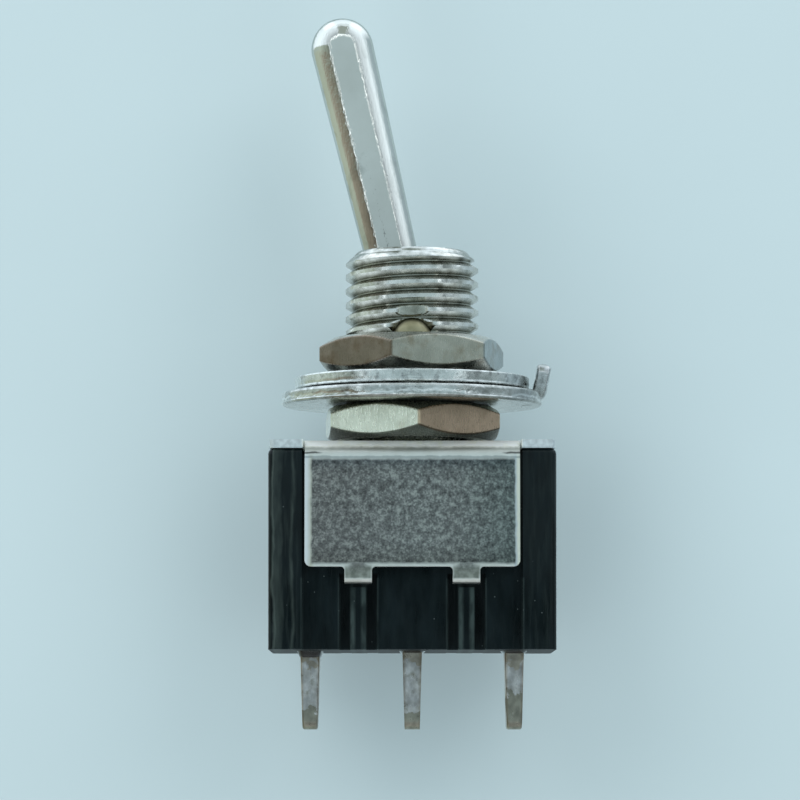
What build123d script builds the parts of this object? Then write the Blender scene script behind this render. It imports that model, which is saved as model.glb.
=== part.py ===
from build123d import *
import math

# Miniature panel toggle switch with one common and two switched terminals, in millimetres.
# +Z runs along the bushing towards the lever. The origin is on the bushing's axis at the
# top face of the upper nut, where the free stretch of the mounting thread begins.

# ---- heights of the stack on the bushing, all taken from the cover plate's top face
nut_top_above_cover = 4.95
pivot_above_cover = 4.80
bushing_above_cover = 8.90
cover_top_z = -nut_top_above_cover
pivot_z = cover_top_z + pivot_above_cover
bushing_top_z = cover_top_z + bushing_above_cover

# ---- running clearances and seats
pin_play = 0.03
press_play = 0.01
slide_play = 0.06
moulded_play = 0.02
sheet_play = 0.05

# ---- how far a cut runs past the face it opens, and how far fused pieces run into each other
past = 1.0
sunk = 0.10

# ---- lever
rest_tilt_deg = 13.25
lever_length = 15.65
tip_radius = 1.46
lever_mouth_radius = 1.24
hub_radius = 1.55
stem_radius = 1.125
stem_length = 7.60
stem_end_chamfer = 0.15

# ---- pivot pin
pin_radius = 0.86
pin_front_y = -2.88
pin_back_y = 2.58
pin_dome = 0.22

# ---- plunger and its spring, measured along the lever from the pivot
plunger_radius = 0.72
plunger_reach = 9.60
plunger_shoulder = 5.20
spigot_radius = 0.34
spigot_length = 0.70
spring_top = 2.20
wire_radius = 0.11
spring_radius = 0.55
spring_coils = 6
wire_sides = 8
spring_seat_play = 0.02

# ---- bushing
thread_radius = 3.10
pitch_line_radius = 2.92
rim_radius = 2.65
rim_chamfer = 0.45
mouth_radius = 2.335
waist_radius = 1.68
waist_half_length = 0.35
skirt_radius = 2.55
spigot_hole_radius = 3.00
neck_radius = spigot_hole_radius - sheet_play
lip_radius = 3.15
lip_bottom = 0.75
lip_chamfer = 0.12
keyway_width = 1.00
keyway_depth = 0.45

# ---- hex nuts
nut_across_flats = 7.80
nut_thickness = 1.60
nut_face_radius = 3.68
nut_chamfer_deg = 30.0
nut_bore_radius = pitch_line_radius + pin_play
nut_countersink = 0.28
nut_corner_allowance = 0.20
lower_nut_bottom = 0.18
upper_nut_corner_deg = -102.5
lower_nut_corner_deg = -86.1

# ---- toothed washer
washer_radius = 5.45
washer_rim_inner = 4.30
washer_thickness = 0.50
washer_bottom = 2.613
washer_tip_deg = 0.45
tooth_count = 8
tooth_tip_radius = 3.28
tooth_root_width = 1.90
tooth_tip_width = 1.30
tooth_twist_deg = 13.0
tooth_thickness = 0.34

# ---- locking ring
ring_radius = 6.05
ring_bore_radius = 3.30
ring_thickness = 0.62
ring_bottom = 1.83
ring_tip_deg = 0.50
ring_edge_round = 0.14
tab_height = 1.92
tab_width = 2.20
tab_thickness = 0.70
tab_lean_deg = 11.0
tab_offset = 0.12
tab_corner_radius = 0.60
tab_heel_radius = 0.38
tab_rim_radius = 0.22
key_width = 0.80
key_tip_y = 2.76

# ---- cover, bent from one sheet
sheet = 0.40
cover_length = 13.00
cover_width = 7.90
plate_corner_radius = 0.30
flap_width = 9.80
flap_bottom = 5.80
bend_radius = 0.50
flap_corner_radius = 0.30
relief_width = 0.08
crimp_x = 2.46
crimp_width = 1.25
crimp_bottom = 6.55
crimp_reach = 0.90
crimp_heel_radius = 0.30
crimp_root_radius = 0.18

# ---- moulded case
case_top = sheet
case_length = 13.14
case_bottom = 9.55
case_draft_deg = 0.15
case_edge_radius = 0.35
recess_play = 0.12
recess_half_length = flap_width / 2 + recess_play
recess_y = cover_width / 2 - sheet - sheet_play
groove_width = 1.73
groove_depth = 0.62
groove_top = crimp_bottom - sheet - sheet_play
rib_width = 0.73
rib_top = 6.72
rib_set_back = 0.04
lip_room = 0.10
cavity_half_length = 5.60
cavity_half_width = 2.30
floor_top = 8.05

# ---- terminals
terminal_x = 4.70
terminal_root_thickness = 0.90
terminal_tip_thickness = 0.70
terminal_width = 2.00
terminal_tip = 13.15
terminal_corner_radius = 0.55
lug_hole_radius = 0.60
lug_hole_above_tip = 1.25

# ---- see-saw contact blade and the fixed contacts under it
blade_thickness = 0.35
blade_dish_radius = 5.30
blade_dish_half = 2.50
blade_wing_x = 4.65
blade_half_width = 1.60
blade_tilt_deg = 6.0
neck_half_width = 0.98
neck_half_length = 0.55
horn_play = 0.04
horn_half_width = 1.50
horn_height = 0.80
edge_play = 0.03
plunger_play = 0.03
contact_x = 3.95
contact_play = 0.02
moving_contact_radius = 0.75
moving_contact_height = 0.28
contact_edge = 0.06
fixed_contact_radius = 0.85
fixed_contact_height = 0.32
shelf_thickness = 0.60
shelf_inner_x = 3.00
shelf_width = 2.60

# ---- resin seals where the terminals leave the case
seal_half_length = 0.60
seal_half_width = 1.25
seal_left_height = 0.30
seal_other_height = 0.12
seal_corner_radius = 0.30

# ---- values that follow from the ones above
blade_top_z = pivot_z - plunger_reach - plunger_play
blade_low_z = blade_top_z - blade_thickness
knife_z = blade_low_z - edge_play
lever_place = Pos(0, 0, pivot_z) * Rot(0, -rest_tilt_deg, 0)
blade_place = Pos(0, 0, blade_low_z) * Rot(0, blade_tilt_deg, 0)
dish_centre = blade_thickness + blade_dish_radius
dish_end_rise = dish_centre - math.sqrt(
    (blade_dish_radius + blade_thickness) ** 2 - blade_dish_half**2
)
tilt_tan = math.tan(math.radians(blade_tilt_deg))
tilt_cos = math.cos(math.radians(blade_tilt_deg))
tilt_sin = math.sin(math.radians(blade_tilt_deg))
wing_low_at_contact = dish_end_rise + (contact_x - blade_dish_half) * tilt_tan
closed_wing_z = blade_low_z + wing_low_at_contact * tilt_cos - contact_x * tilt_sin
closed_contact_x = contact_x * tilt_cos + wing_low_at_contact * tilt_sin
fixed_contact_top_z = closed_wing_z - moving_contact_height - contact_play
shelf_top_z = fixed_contact_top_z - fixed_contact_height


def below_cover(depth):
    """Height of a level given as a depth under the cover plate's top face."""
    return cover_top_z - depth


def turned(*corners):
    """Solid of revolution about Z from (radius, height) corners."""
    return revolve(make_face(Plane.XZ * Polyline(*corners, close=True)), Axis.Z)


def block(x0, x1, y0, y1, z0, z1):
    """Box between two opposite corners."""
    size = (x1 - x0, y1 - y0, z1 - z0)
    return Pos((x0 + x1) / 2, (y0 + y1) / 2, (z0 + z1) / 2) * Box(*size)


def post(radius, z0, z1):
    """Upright cylinder on the Z axis."""
    return Pos(0, 0, (z0 + z1) / 2) * Cylinder(radius, z1 - z0)


def across(radius, y0, y1):
    """Cylinder lying along Y through the origin."""
    return Pos(0, (y0 + y1) / 2, 0) * Rot(90, 0, 0) * Cylinder(radius, y1 - y0)


def make_bushing():
    """Threaded bushing: crest radius where the thread is free, pitch line where a nut's
    thread interlocks with it, bore waisted at the pivot, lip staked under the cover."""
    nut_base = below_cover(-lower_nut_bottom)
    outside = [
        (mouth_radius, bushing_top_z),
        (rim_radius, bushing_top_z),
        (thread_radius, bushing_top_z - rim_chamfer),
        (thread_radius, 0),
        (pitch_line_radius, 0),
        (pitch_line_radius, -nut_thickness),
        (thread_radius, -nut_thickness),
        (thread_radius, nut_base + nut_thickness),
        (pitch_line_radius, nut_base + nut_thickness),
        (pitch_line_radius, nut_base),
        (thread_radius, nut_base),
        (thread_radius, cover_top_z),
        (neck_radius, cover_top_z),
        (neck_radius, below_cover(sheet)),
        (lip_radius, below_cover(sheet)),
        (lip_radius, below_cover(lip_bottom - lip_chamfer)),
        (lip_radius - lip_chamfer, below_cover(lip_bottom)),
        (skirt_radius, below_cover(lip_bottom)),
        (waist_radius, pivot_z - waist_half_length),
        (waist_radius, pivot_z + waist_half_length),
    ]
    body = turned(*outside)
    reach = thread_radius + past
    body -= Pos(0, 0, pivot_z) * across(pin_radius + press_play, -reach, reach)
    keyway_floor = thread_radius - keyway_depth
    body -= block(
        -keyway_width / 2,
        keyway_width / 2,
        keyway_floor,
        reach,
        cover_top_z,
        bushing_top_z + past,
    )
    return body


def make_lever():
    """Bat lever: round tip, straight taper to the mouth, ball hub on the pin, hollow stem."""
    tip_centre = lever_length - tip_radius
    mouth = bushing_top_z - pivot_z
    neck_z = math.sqrt(hub_radius**2 - lever_mouth_radius**2)
    stem_z = -math.sqrt(hub_radius**2 - stem_radius**2)
    end_radius = stem_radius - stem_end_chamfer
    end_z = stem_end_chamfer - stem_length
    outline = Wire(
        [
            Line((0, lever_length), (0, -stem_length)),
            Line((0, -stem_length), (end_radius, -stem_length)),
            Line((end_radius, -stem_length), (stem_radius, end_z)),
            Line((stem_radius, end_z), (stem_radius, stem_z)),
            ThreePointArc(
                (stem_radius, stem_z), (hub_radius, 0), (lever_mouth_radius, neck_z)
            ),
            Line((lever_mouth_radius, neck_z), (lever_mouth_radius, mouth)),
            Line((lever_mouth_radius, mouth), (tip_radius, tip_centre)),
            ThreePointArc(
                (tip_radius, tip_centre),
                (
                    tip_radius * math.sin(math.radians(45)),
                    tip_centre + tip_radius * math.cos(math.radians(45)),
                ),
                (0, lever_length),
            ),
        ]
    )
    body = revolve(Plane.XZ * Face(outline), Axis.Z)
    reach = hub_radius + past
    body -= across(pin_radius + pin_play, -reach, reach)
    body -= post(plunger_radius + slide_play, -stem_length - past, -spring_top)
    return lever_place * body


def make_pivot_pin():
    """Pin with domed ends that the lever swings on."""
    shaft = across(pin_radius, pin_front_y + pin_dome, pin_back_y - pin_dome)
    dome_radius = (pin_radius**2 + pin_dome**2) / (2 * pin_dome)
    front = Pos(0, pin_front_y + dome_radius, 0) * Sphere(dome_radius)
    back = Pos(0, pin_back_y - dome_radius, 0) * Sphere(dome_radius)
    body = shaft + (front & across(pin_radius, pin_front_y - past, 0))
    body += back & across(pin_radius, 0, pin_back_y + past)
    return Pos(0, 0, pivot_z) * body


def make_plunger():
    """Rod with a ball end that slides in the stem, and a spigot the spring sits on."""
    ball_z = -plunger_reach + plunger_radius
    body = post(plunger_radius, ball_z, -plunger_shoulder)
    body += Pos(0, 0, ball_z) * Sphere(plunger_radius)
    body += post(
        spigot_radius, -plunger_shoulder - sunk, spigot_length - plunger_shoulder
    )
    return lever_place * body


def make_plunger_spring():
    """Compression spring between the stem's blind end and the plunger's shoulder."""
    low = -plunger_shoulder + wire_radius + spring_seat_play
    high = -spring_top - wire_radius - spring_seat_play
    path = Helix(
        pitch=(high - low) / spring_coils, height=high - low, radius=spring_radius
    )
    start = Plane(origin=path @ 0, z_dir=path % 0)
    coil = sweep(start * RegularPolygon(wire_radius, wire_sides), path=path)
    return lever_place * Pos(0, 0, low) * coil


def make_blade():
    """See-saw blade: dished middle the plunger rolls across, flat wings, waist notches."""
    half = blade_half_width
    arc = Pos(0, 0, dish_centre) * (
        across(dish_centre, -half, half)
        - across(blade_dish_radius, -half - past, half + past)
    )
    dish = blade_dish_half
    middle = arc & block(-dish, dish, -half, half, -past, dish_centre / 2)
    reach = (blade_wing_x - blade_dish_half) / tilt_cos
    wing = block(-sunk, reach, -half, half, 0, blade_thickness)
    right = Pos(blade_dish_half, 0, dish_end_rise) * Rot(0, -blade_tilt_deg, 0) * wing
    left = mirror(right, Plane.YZ)
    body = middle + right + left
    for side in (-1, 1):
        y0, y1 = sorted((side * neck_half_width, side * (half + past)))
        body -= block(-neck_half_length, neck_half_length, y0, y1, -past, past)
    return blade_place * body


def make_moving_contact(side):
    """Silver button riveted under one wing of the blade."""
    button = post(moving_contact_radius, -moving_contact_height, 0)
    button = chamfer(button.edges().sort_by(Axis.Z)[0], contact_edge)
    at_wing = Pos(side * contact_x, 0, wing_low_at_contact)
    return blade_place * at_wing * Rot(0, -side * blade_tilt_deg, 0) * button


def make_case():
    """Moulded body: four corner columns, recessed faces for the cover's flaps, grooves
    with a rib under each crimp tab, one cavity and three terminal slots."""
    top_plane = Plane(origin=(0, 0, below_cover(case_top)), z_dir=(0, 0, -1))
    outline = RectangleRounded(case_length, cover_width, case_edge_radius)
    body = extrude(
        top_plane * outline, amount=case_bottom - case_top, taper=case_draft_deg
    )
    low = below_cover(case_bottom)
    high = below_cover(case_top)
    for side in (-1, 1):
        body -= recess(side, low, high)
    body -= block(
        -cavity_half_length,
        cavity_half_length,
        -cavity_half_width,
        cavity_half_width,
        below_cover(floor_top),
        high + past,
    )
    lip_floor = below_cover(lip_bottom + lip_room)
    body -= post(lip_radius + lip_room, lip_floor, high + past)
    slot_top = below_cover(floor_top) + past
    for x in (-terminal_x, 0, terminal_x):
        half_t = terminal_root_thickness / 2 + moulded_play
        half_w = terminal_width / 2 + moulded_play
        body -= block(x - half_t, x + half_t, -half_w, half_w, low - past, slot_top)
    return body


def recess(side, low, high):
    """Material taken off one long face: the flap's recess and the two crimp grooves."""
    half = recess_half_length
    y0, y1 = sorted((side * recess_y, side * (cover_width / 2 + past)))
    cut = block(-half, half, y0, y1, low - past, high + past)
    cut += top_edge_round(side, high)
    for x in (-crimp_x, crimp_x):
        cut += groove(side, x, low)
    return cut


def top_edge_round(side, high):
    """Rounded edge that clears the inside of the cover's bend."""
    size = bend_radius
    half = recess_half_length
    y0, y1 = sorted((side * (recess_y - size), side * (recess_y + past)))
    corner = block(-half, half, y0, y1, high - size, high + past)
    rod = Pos(0, side * (recess_y - size), high - size) * Rot(0, 90, 0)
    return corner - rod * Cylinder(size, 2 * (half + past))


def groove(side, x, low):
    """One groove, open at the bottom, with its rib left standing."""
    y0, y1 = sorted((side * (recess_y - groove_depth), side * (recess_y + past)))
    half = groove_width / 2
    slot = block(x - half, x + half, y0, y1, low - past, below_cover(groove_top))
    half = rib_width / 2
    y0, y1 = sorted((0, side * (recess_y - rib_set_back)))
    rib = block(x - half, x + half, y0, y1, low - 2 * past, below_cover(rib_top))
    return slot - rib


def make_cover():
    """Bent steel cover: top plate, two flaps, two crimp tabs turned in under each flap."""
    outline = RectangleRounded(cover_length, cover_width, plate_corner_radius)
    body = Pos(0, 0, cover_top_z) * extrude(outline, amount=-sheet)
    low = cover_top_z - past
    high = cover_top_z + past
    outer = bend_radius + sheet
    bend_y = cover_width / 2 - outer
    half = flap_width / 2 + relief_width
    for side in (-1, 1):
        y0, y1 = sorted((side * bend_y, side * (cover_width / 2 + past)))
        body -= block(-half, half, y0, y1, low, high)
        body += flap(side, bend_y, outer)
    body -= post(spigot_hole_radius, low, high)
    return body


def flap(side, bend_y, outer):
    """One flap with its bend and its two crimp tabs, built on the +Y side and mirrored."""
    bend_z = cover_top_z - outer
    half = flap_width / 2
    bend = Pos(0, bend_y, bend_z) * Rot(0, 90, 0)
    shell = bend * (
        Cylinder(outer, flap_width) - Cylinder(bend_radius, flap_width + past)
    )
    quarter = block(-half, half, bend_y, bend_y + 2 * outer, bend_z, bend_z + 2 * outer)
    body = shell & quarter
    panel = block(
        -half,
        half,
        cover_width / 2 - sheet,
        cover_width / 2,
        below_cover(flap_bottom),
        bend_z,
    )
    low_corners = panel.edges().filter_by(Axis.Y).group_by(Axis.Z)[0]
    body += fillet(low_corners, flap_corner_radius)
    for x in (-crimp_x, crimp_x):
        body += crimp_tab(x) + crimp_root(x)
    if side < 0:
        body = mirror(body, Plane.XZ)
    return body


def crimp_tab(x):
    """Tab that runs down from the flap and turns in under the case's ledge."""
    half = crimp_width / 2
    outer_y = cover_width / 2
    low = below_cover(crimp_bottom)
    leg = block(
        x - half,
        x + half,
        outer_y - sheet,
        outer_y,
        low,
        below_cover(flap_bottom - sunk),
    )
    foot = block(x - half, x + half, outer_y - crimp_reach, outer_y, low, low + sheet)
    body = leg + foot
    heel = body.edges().filter_by(Axis.X).group_by(Axis.Z)[0].sort_by(Axis.Y)[-1]
    return fillet(heel, crimp_heel_radius)


def crimp_root(x):
    """Rounded inside corners where a crimp tab's leg leaves the flap's lower edge."""
    reach = crimp_width / 2 + crimp_root_radius
    y0 = cover_width / 2 - sheet
    y1 = cover_width / 2
    top = below_cover(flap_bottom)
    root = block(x - reach, x + reach, y0, y1, top - crimp_root_radius, top + sunk)
    for side in (-1, 1):
        rod = Pos(x + side * reach, 0, top - crimp_root_radius)
        root -= rod * across(crimp_root_radius, y0 - past, y1 + past)
    return root


def lug(x):
    """Solder lug: thins towards its rounded end, with a wire hole across it."""
    root = terminal_root_thickness / 2
    tip = terminal_tip_thickness / 2
    top_z = below_cover(floor_top)
    mid_z = below_cover(case_bottom)
    tip_z = below_cover(terminal_tip)
    outline = Polyline(
        (-root, top_z),
        (-root, mid_z),
        (-tip, tip_z),
        (tip, tip_z),
        (root, mid_z),
        (root, top_z),
        close=True,
    )
    half = terminal_width / 2
    body = Pos(0, half, 0) * extrude(make_face(Plane.XZ * outline), terminal_width)
    ends = body.edges().filter_by(Axis.X).group_by(Axis.Z)[0]
    body = fillet(ends, terminal_corner_radius)
    hole = Pos(0, 0, tip_z + lug_hole_above_tip) * Rot(0, 90, 0)
    body -= hole * Cylinder(lug_hole_radius, terminal_root_thickness + past)
    return Pos(x, 0, 0) * body


def make_common_terminal():
    """Middle terminal: lug below, two horns above with the knife edge between them."""
    half = terminal_root_thickness / 2
    head = block(
        -half,
        half,
        -horn_half_width,
        horn_half_width,
        below_cover(floor_top),
        knife_z + horn_height,
    )
    gap = neck_half_width + horn_play
    top_z = knife_z + horn_height + past
    head -= block(-half - past, half + past, -gap, gap, knife_z - half, top_z)
    head += Pos(0, 0, knife_z - half) * across(half, -gap - sunk, gap + sunk)
    return head + lug(0)


def make_end_terminal(side):
    """Outer terminal: lug below, upright blade and a shelf turned in under the contact."""
    half = terminal_root_thickness / 2
    x = side * terminal_x
    upright = block(
        x - half,
        x + half,
        -terminal_width / 2,
        terminal_width / 2,
        below_cover(floor_top),
        shelf_top_z,
    )
    x0, x1 = sorted((side * shelf_inner_x, side * (terminal_x + half)))
    shelf = block(
        x0,
        x1,
        -shelf_width / 2,
        shelf_width / 2,
        shelf_top_z - shelf_thickness,
        shelf_top_z,
    )
    return upright + shelf + lug(x)


def make_fixed_contact(side):
    """Silver button on an outer terminal's shelf, under the blade's button when closed."""
    button = post(fixed_contact_radius, shelf_top_z, fixed_contact_top_z)
    button = chamfer(button.edges().sort_by(Axis.Z)[-1], contact_edge)
    return Pos(side * closed_contact_x, 0, 0) * button


def make_seal(x, height):
    """Resin pad around a terminal's root, under the case."""
    low = below_cover(case_bottom)
    pad = block(
        x - seal_half_length,
        x + seal_half_length,
        -seal_half_width,
        seal_half_width,
        low - height,
        low,
    )
    pad = fillet(pad.edges().filter_by(Axis.Z), seal_corner_radius)
    half_t = terminal_root_thickness / 2 + moulded_play
    half_w = terminal_width / 2 + moulded_play
    return pad - block(x - half_t, x + half_t, -half_w, half_w, low - past, low + past)


def make_nut(corner_deg, bottom_z):
    """Hex nut, both faces chamfered, countersunk bore at the thread's pitch line."""
    hexagon = RegularPolygon(nut_across_flats / 2, 6, major_radius=False)
    corner_radius = nut_across_flats / 2 / math.cos(math.radians(30))
    corner_radius += nut_corner_allowance
    drop = (corner_radius - nut_face_radius) * math.tan(math.radians(nut_chamfer_deg))
    dished = turned(
        (0, 0),
        (nut_face_radius, 0),
        (corner_radius, drop),
        (corner_radius, nut_thickness - drop),
        (nut_face_radius, nut_thickness),
        (0, nut_thickness),
    )
    sink = nut_bore_radius + nut_countersink
    bore = turned(
        (0, -past),
        (sink + past, -past),
        (nut_bore_radius, nut_countersink),
        (nut_bore_radius, nut_thickness - nut_countersink),
        (sink + past, nut_thickness + past),
        (0, nut_thickness + past),
    )
    body = (extrude(hexagon, nut_thickness) & dished) - bore
    return Pos(0, 0, bottom_z) * Rot(0, 0, corner_deg) * body


def make_tooth_washer():
    """Internal-tooth washer: plain rim, teeth twisted about their own radial lines."""
    half = washer_thickness / 2
    body = post(washer_radius, -half, half) - post(washer_rim_inner, -past, past)
    for i in range(tooth_count):
        turn = (i + 0.5) * 360 / tooth_count - 90
        body += Rot(0, 0, turn) * washer_tooth()
    tip = Rot(washer_tip_deg, 0, 0)
    return Pos(0, 0, below_cover(-washer_bottom - half)) * tip * body


def washer_tooth():
    """One tooth along +X, twisted so one flank rises and the other drops."""
    root_r = washer_rim_inner + sunk
    outline = Polyline(
        (tooth_tip_radius, -tooth_tip_width / 2),
        (root_r, -tooth_root_width / 2),
        (root_r, tooth_root_width / 2),
        (tooth_tip_radius, tooth_tip_width / 2),
        close=True,
    )
    slab = extrude(make_face(outline), tooth_thickness)
    return Rot(tooth_twist_deg, 0, 0) * Pos(0, 0, -tooth_thickness / 2) * slab


def make_locking_ring():
    """Locking ring: flat ring, one outer tab bent up and leaning out, one inner key."""
    half = ring_thickness / 2
    disc = post(ring_radius, -half, half)
    disc = fillet(disc.edges(), ring_edge_round)
    body = disc - post(ring_bore_radius, -past, past)
    root_y = ring_bore_radius + 5 * sunk
    key = block(-key_width / 2, key_width / 2, key_tip_y, root_y, -half, half)
    body += key + bent_tab(half)
    tip = Rot(ring_tip_deg, 0, 0)
    return Pos(0, 0, below_cover(-ring_bottom - half)) * tip * body


def bent_tab(half):
    """Anti-turn tab at +X with a rounded end."""
    tab = block(-tab_thickness, 0, -tab_width / 2, tab_width / 2, 0, tab_height)
    corners = tab.edges().filter_by(Axis.X).group_by(Axis.Z)[-1]
    tab = fillet(corners, tab_corner_radius)
    heel = tab.edges().filter_by(Axis.Y).group_by(Axis.Z)[0].sort_by(Axis.X)[-1]
    tab = fillet(heel, tab_heel_radius)
    rim = tab.faces().sort_by(Axis.X)[-1].edges().group_by(Axis.Z)[1:]
    tab = fillet([edge for group in rim for edge in group], tab_rim_radius)
    return Pos(ring_radius + tab_offset, 0, -half) * Rot(0, tab_lean_deg, 0) * tab


nodes = {
    "bushing": make_bushing(),
    "lever": make_lever(),
    "pivot_pin": make_pivot_pin(),
    "plunger": make_plunger(),
    "plunger_spring": make_plunger_spring(),
    "rocker": make_blade(),
    "rocker_contact_left": make_moving_contact(-1),
    "rocker_contact_right": make_moving_contact(1),
    "case": make_case(),
    "cover": make_cover(),
    "terminal_left": make_end_terminal(-1),
    "terminal_common": make_common_terminal(),
    "terminal_right": make_end_terminal(1),
    "fixed_contact_left": make_fixed_contact(-1),
    "fixed_contact_right": make_fixed_contact(1),
    "seal_left": make_seal(-terminal_x, seal_left_height),
    "seal_common": make_seal(0, seal_other_height),
    "seal_right": make_seal(terminal_x, seal_other_height),
    "upper_nut": make_nut(upper_nut_corner_deg, -nut_thickness),
    "lower_nut": make_nut(lower_nut_corner_deg, below_cover(-lower_nut_bottom)),
    "tooth_washer": make_tooth_washer(),
    "locking_ring": make_locking_ring(),
}

for name, shape in nodes.items():
    export_step(shape, f"parts/{name}.step")
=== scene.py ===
import math

import bmesh
import bpy
import mathutils
import numpy as np
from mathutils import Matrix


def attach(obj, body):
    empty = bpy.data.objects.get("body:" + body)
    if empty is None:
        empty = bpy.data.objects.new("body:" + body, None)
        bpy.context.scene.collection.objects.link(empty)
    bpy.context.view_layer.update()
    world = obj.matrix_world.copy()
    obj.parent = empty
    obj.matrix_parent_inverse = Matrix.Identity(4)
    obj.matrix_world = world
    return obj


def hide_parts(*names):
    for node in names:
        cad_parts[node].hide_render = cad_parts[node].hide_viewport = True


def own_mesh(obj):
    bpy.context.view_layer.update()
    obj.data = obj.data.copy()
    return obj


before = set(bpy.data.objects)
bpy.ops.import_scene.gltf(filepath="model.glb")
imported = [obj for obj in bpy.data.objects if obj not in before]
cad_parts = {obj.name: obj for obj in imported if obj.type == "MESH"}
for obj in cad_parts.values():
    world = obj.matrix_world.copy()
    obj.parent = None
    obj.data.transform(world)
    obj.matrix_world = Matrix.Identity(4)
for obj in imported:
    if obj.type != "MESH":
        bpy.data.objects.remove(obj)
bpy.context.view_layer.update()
mm = 0.001               # every shape below is worked out in millimetres
scene = bpy.context.scene
print("frame loaded with", len(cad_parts), "nodes")


# grids of points and how they become a mesh

def gridFaces(rows, columns, closeRows, closeColumns, start):
    # each cell's four corners: row times the number of columns plus column, wrapped where the grid closes
    i = np.arange(rows if closeRows else rows - 1)
    j = np.arange(columns if closeColumns else columns - 1)
    a, b = np.meshgrid(i, j, indexing="ij")
    nextA, nextB = (a + 1) % rows, (b + 1) % columns
    corners = (a * columns + b, nextA * columns + b, nextA * columns + nextB, a * columns + nextB)
    return np.stack(corners, axis=-1).reshape(-1, 4) + start


def newPiece(name, grids, sharpAngle=40):
    # grids are (points, closeRows, closeColumns); equal points are merged and faces turned outwards
    points, faces, start = [], [], 0
    for grid, closeRows, closeColumns in grids:
        rows, columns = grid.shape[:2]
        points.append(grid.reshape(-1, 3))
        faces.append(gridFaces(rows, columns, closeRows, closeColumns, start))
        start += rows * columns
    mesh = bpy.data.meshes.new(name)
    mesh.from_pydata(np.concatenate(points) * mm, [], np.concatenate(faces).tolist())
    piece = bpy.data.objects.new(name, mesh)
    scene.collection.objects.link(piece)
    cleanMesh(mesh, sharpAngle, True)
    return piece


def reworked(mesh, change):
    # runs a change on the mesh's own corners, edges and faces
    work = bmesh.new()
    work.from_mesh(mesh)
    change(work)
    work.to_mesh(mesh)
    work.free()
    mesh.polygons.foreach_set("use_smooth", np.ones(len(mesh.polygons), bool))


def cleanMesh(mesh, sharpAngle, turnOut):
    # equal points merged, slivers gone, and the angle from which an edge is drawn sharp
    def change(work):
        bmesh.ops.remove_doubles(work, verts=work.verts, dist=2e-7)
        bmesh.ops.dissolve_degenerate(work, edges=work.edges, dist=1e-8)
        if turnOut:
            bmesh.ops.recalc_face_normals(work, faces=work.faces)

    reworked(mesh, change)
    mesh.set_sharp_from_angle(angle=math.radians(sharpAngle))
    mesh.update()


def finishPiece(piece, body, node, material):
    # the piece rides on its body and takes the finish it is given, and its solid is hidden
    piece.data.materials.clear()
    piece.data.materials.append(material)
    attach(piece, body)
    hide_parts(node)
    print("made", piece.name, "with", len(piece.data.polygons), "faces")


def roundedOutline(corners, steps=5):
    # corners are (across, up, radius): each becomes an arc that touches both of its straight edges
    path = []
    share = np.linspace(0, 1, steps + 1)[:, None]
    unit = lambda v: v / np.linalg.norm(v)
    for k, (across, up, radius) in enumerate(corners):
        here = np.array((across, up), float)
        if radius == 0:
            path.append(here[None])
            continue
        toLast = unit(np.array(corners[k - 1][:2], float) - here)
        toNext = unit(np.array(corners[(k + 1) % len(corners)][:2], float) - here)
        half = math.acos(np.clip(toLast @ toNext, -1, 1)) / 2
        centre = here + unit(toLast + toNext) * radius / math.sin(half)
        start = here + toLast * radius / math.tan(half) - centre
        end = here + toNext * radius / math.tan(half) - centre
        sweep = math.pi - 2 * half
        arc = (start * np.sin((1 - share) * sweep) + end * np.sin(share * sweep)) / math.sin(sweep)
        path.append(centre + arc)
    return np.concatenate(path)


def roundAxis(radius, angle, height):
    # x = radius cos(angle), y = radius sin(angle), z = height
    return np.stack(np.broadcast_arrays(radius * np.cos(angle), radius * np.sin(angle), height), axis=-1)


def spun(outline, turns, grow=None):
    # an outline of (radius, height) turned about Z, grown by a function of the turn and the height
    angle = 2 * np.pi * np.arange(turns)[:, None] / turns
    height = outline[None, :, 1]
    grown = 0 if grow is None else grow(angle, height)
    return roundAxis(outline[None, :, 0] + grown, angle, height)


def capped(grid):
    # the grid, and both of its end rings closed to their middles
    return [grid] + [np.stack([grid[k], np.broadcast_to(grid[k].mean(0), grid[k].shape)]) for k in (0, -1)]


def boxSection(radius, steps):
    # a square from -1 to 1 with rounded corners
    return roundedOutline([(1, -1, radius), (1, 1, radius), (-1, 1, radius), (-1, -1, radius)], steps)


def turnedPoints(points, axis, degrees, centre=(0, 0, 0)):
    # right-hand turn about an axis through centre, by the sum of the parts along, across and beside the axis
    axis = np.array(axis, float) / np.linalg.norm(axis)
    offset = points - np.array(centre, float)
    c, s = math.cos(math.radians(degrees)), math.sin(math.radians(degrees))
    along = (offset @ axis)[..., None] * axis
    return np.array(centre, float) + along + c * (offset - along) + s * np.cross(axis, offset)


def lowestOf(values, softness):
    # smooth minimum: minus softness times the log of the summed exp(-value / softness)
    base = np.minimum.reduce(values)
    return base - softness * np.log(sum(np.exp((base - v) / softness) for v in values))


def unevenness(a, b, sizes, seed):
    # sum of crossed sine waves with fixed random phases, between about -1 and 1
    spread = np.random.default_rng(seed)
    total = 0
    for size in sizes:
        p, q, r, s = spread.uniform(0, 2 * np.pi, 4)
        bent = a * size + p + 1.3 * np.sin(b * size * 0.7 + q)
        total = total + np.sin(bent) * np.sin(b * size * 0.9 + r + s)
    return total / len(sizes)


def cutWith(piece, cutter, sharpAngle=40):
    # the exact boolean difference, kept as the piece's own mesh
    modifier = piece.modifiers.new("cut", "BOOLEAN")
    modifier.operation = "DIFFERENCE"
    modifier.solver = "EXACT"
    modifier.object = cutter
    shape = bpy.data.meshes.new_from_object(piece.evaluated_get(bpy.context.evaluated_depsgraph_get()))
    piece.modifiers.remove(modifier)
    piece.data = shape
    bpy.data.objects.remove(cutter)
    cleanMesh(piece.data, sharpAngle, False)


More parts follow.
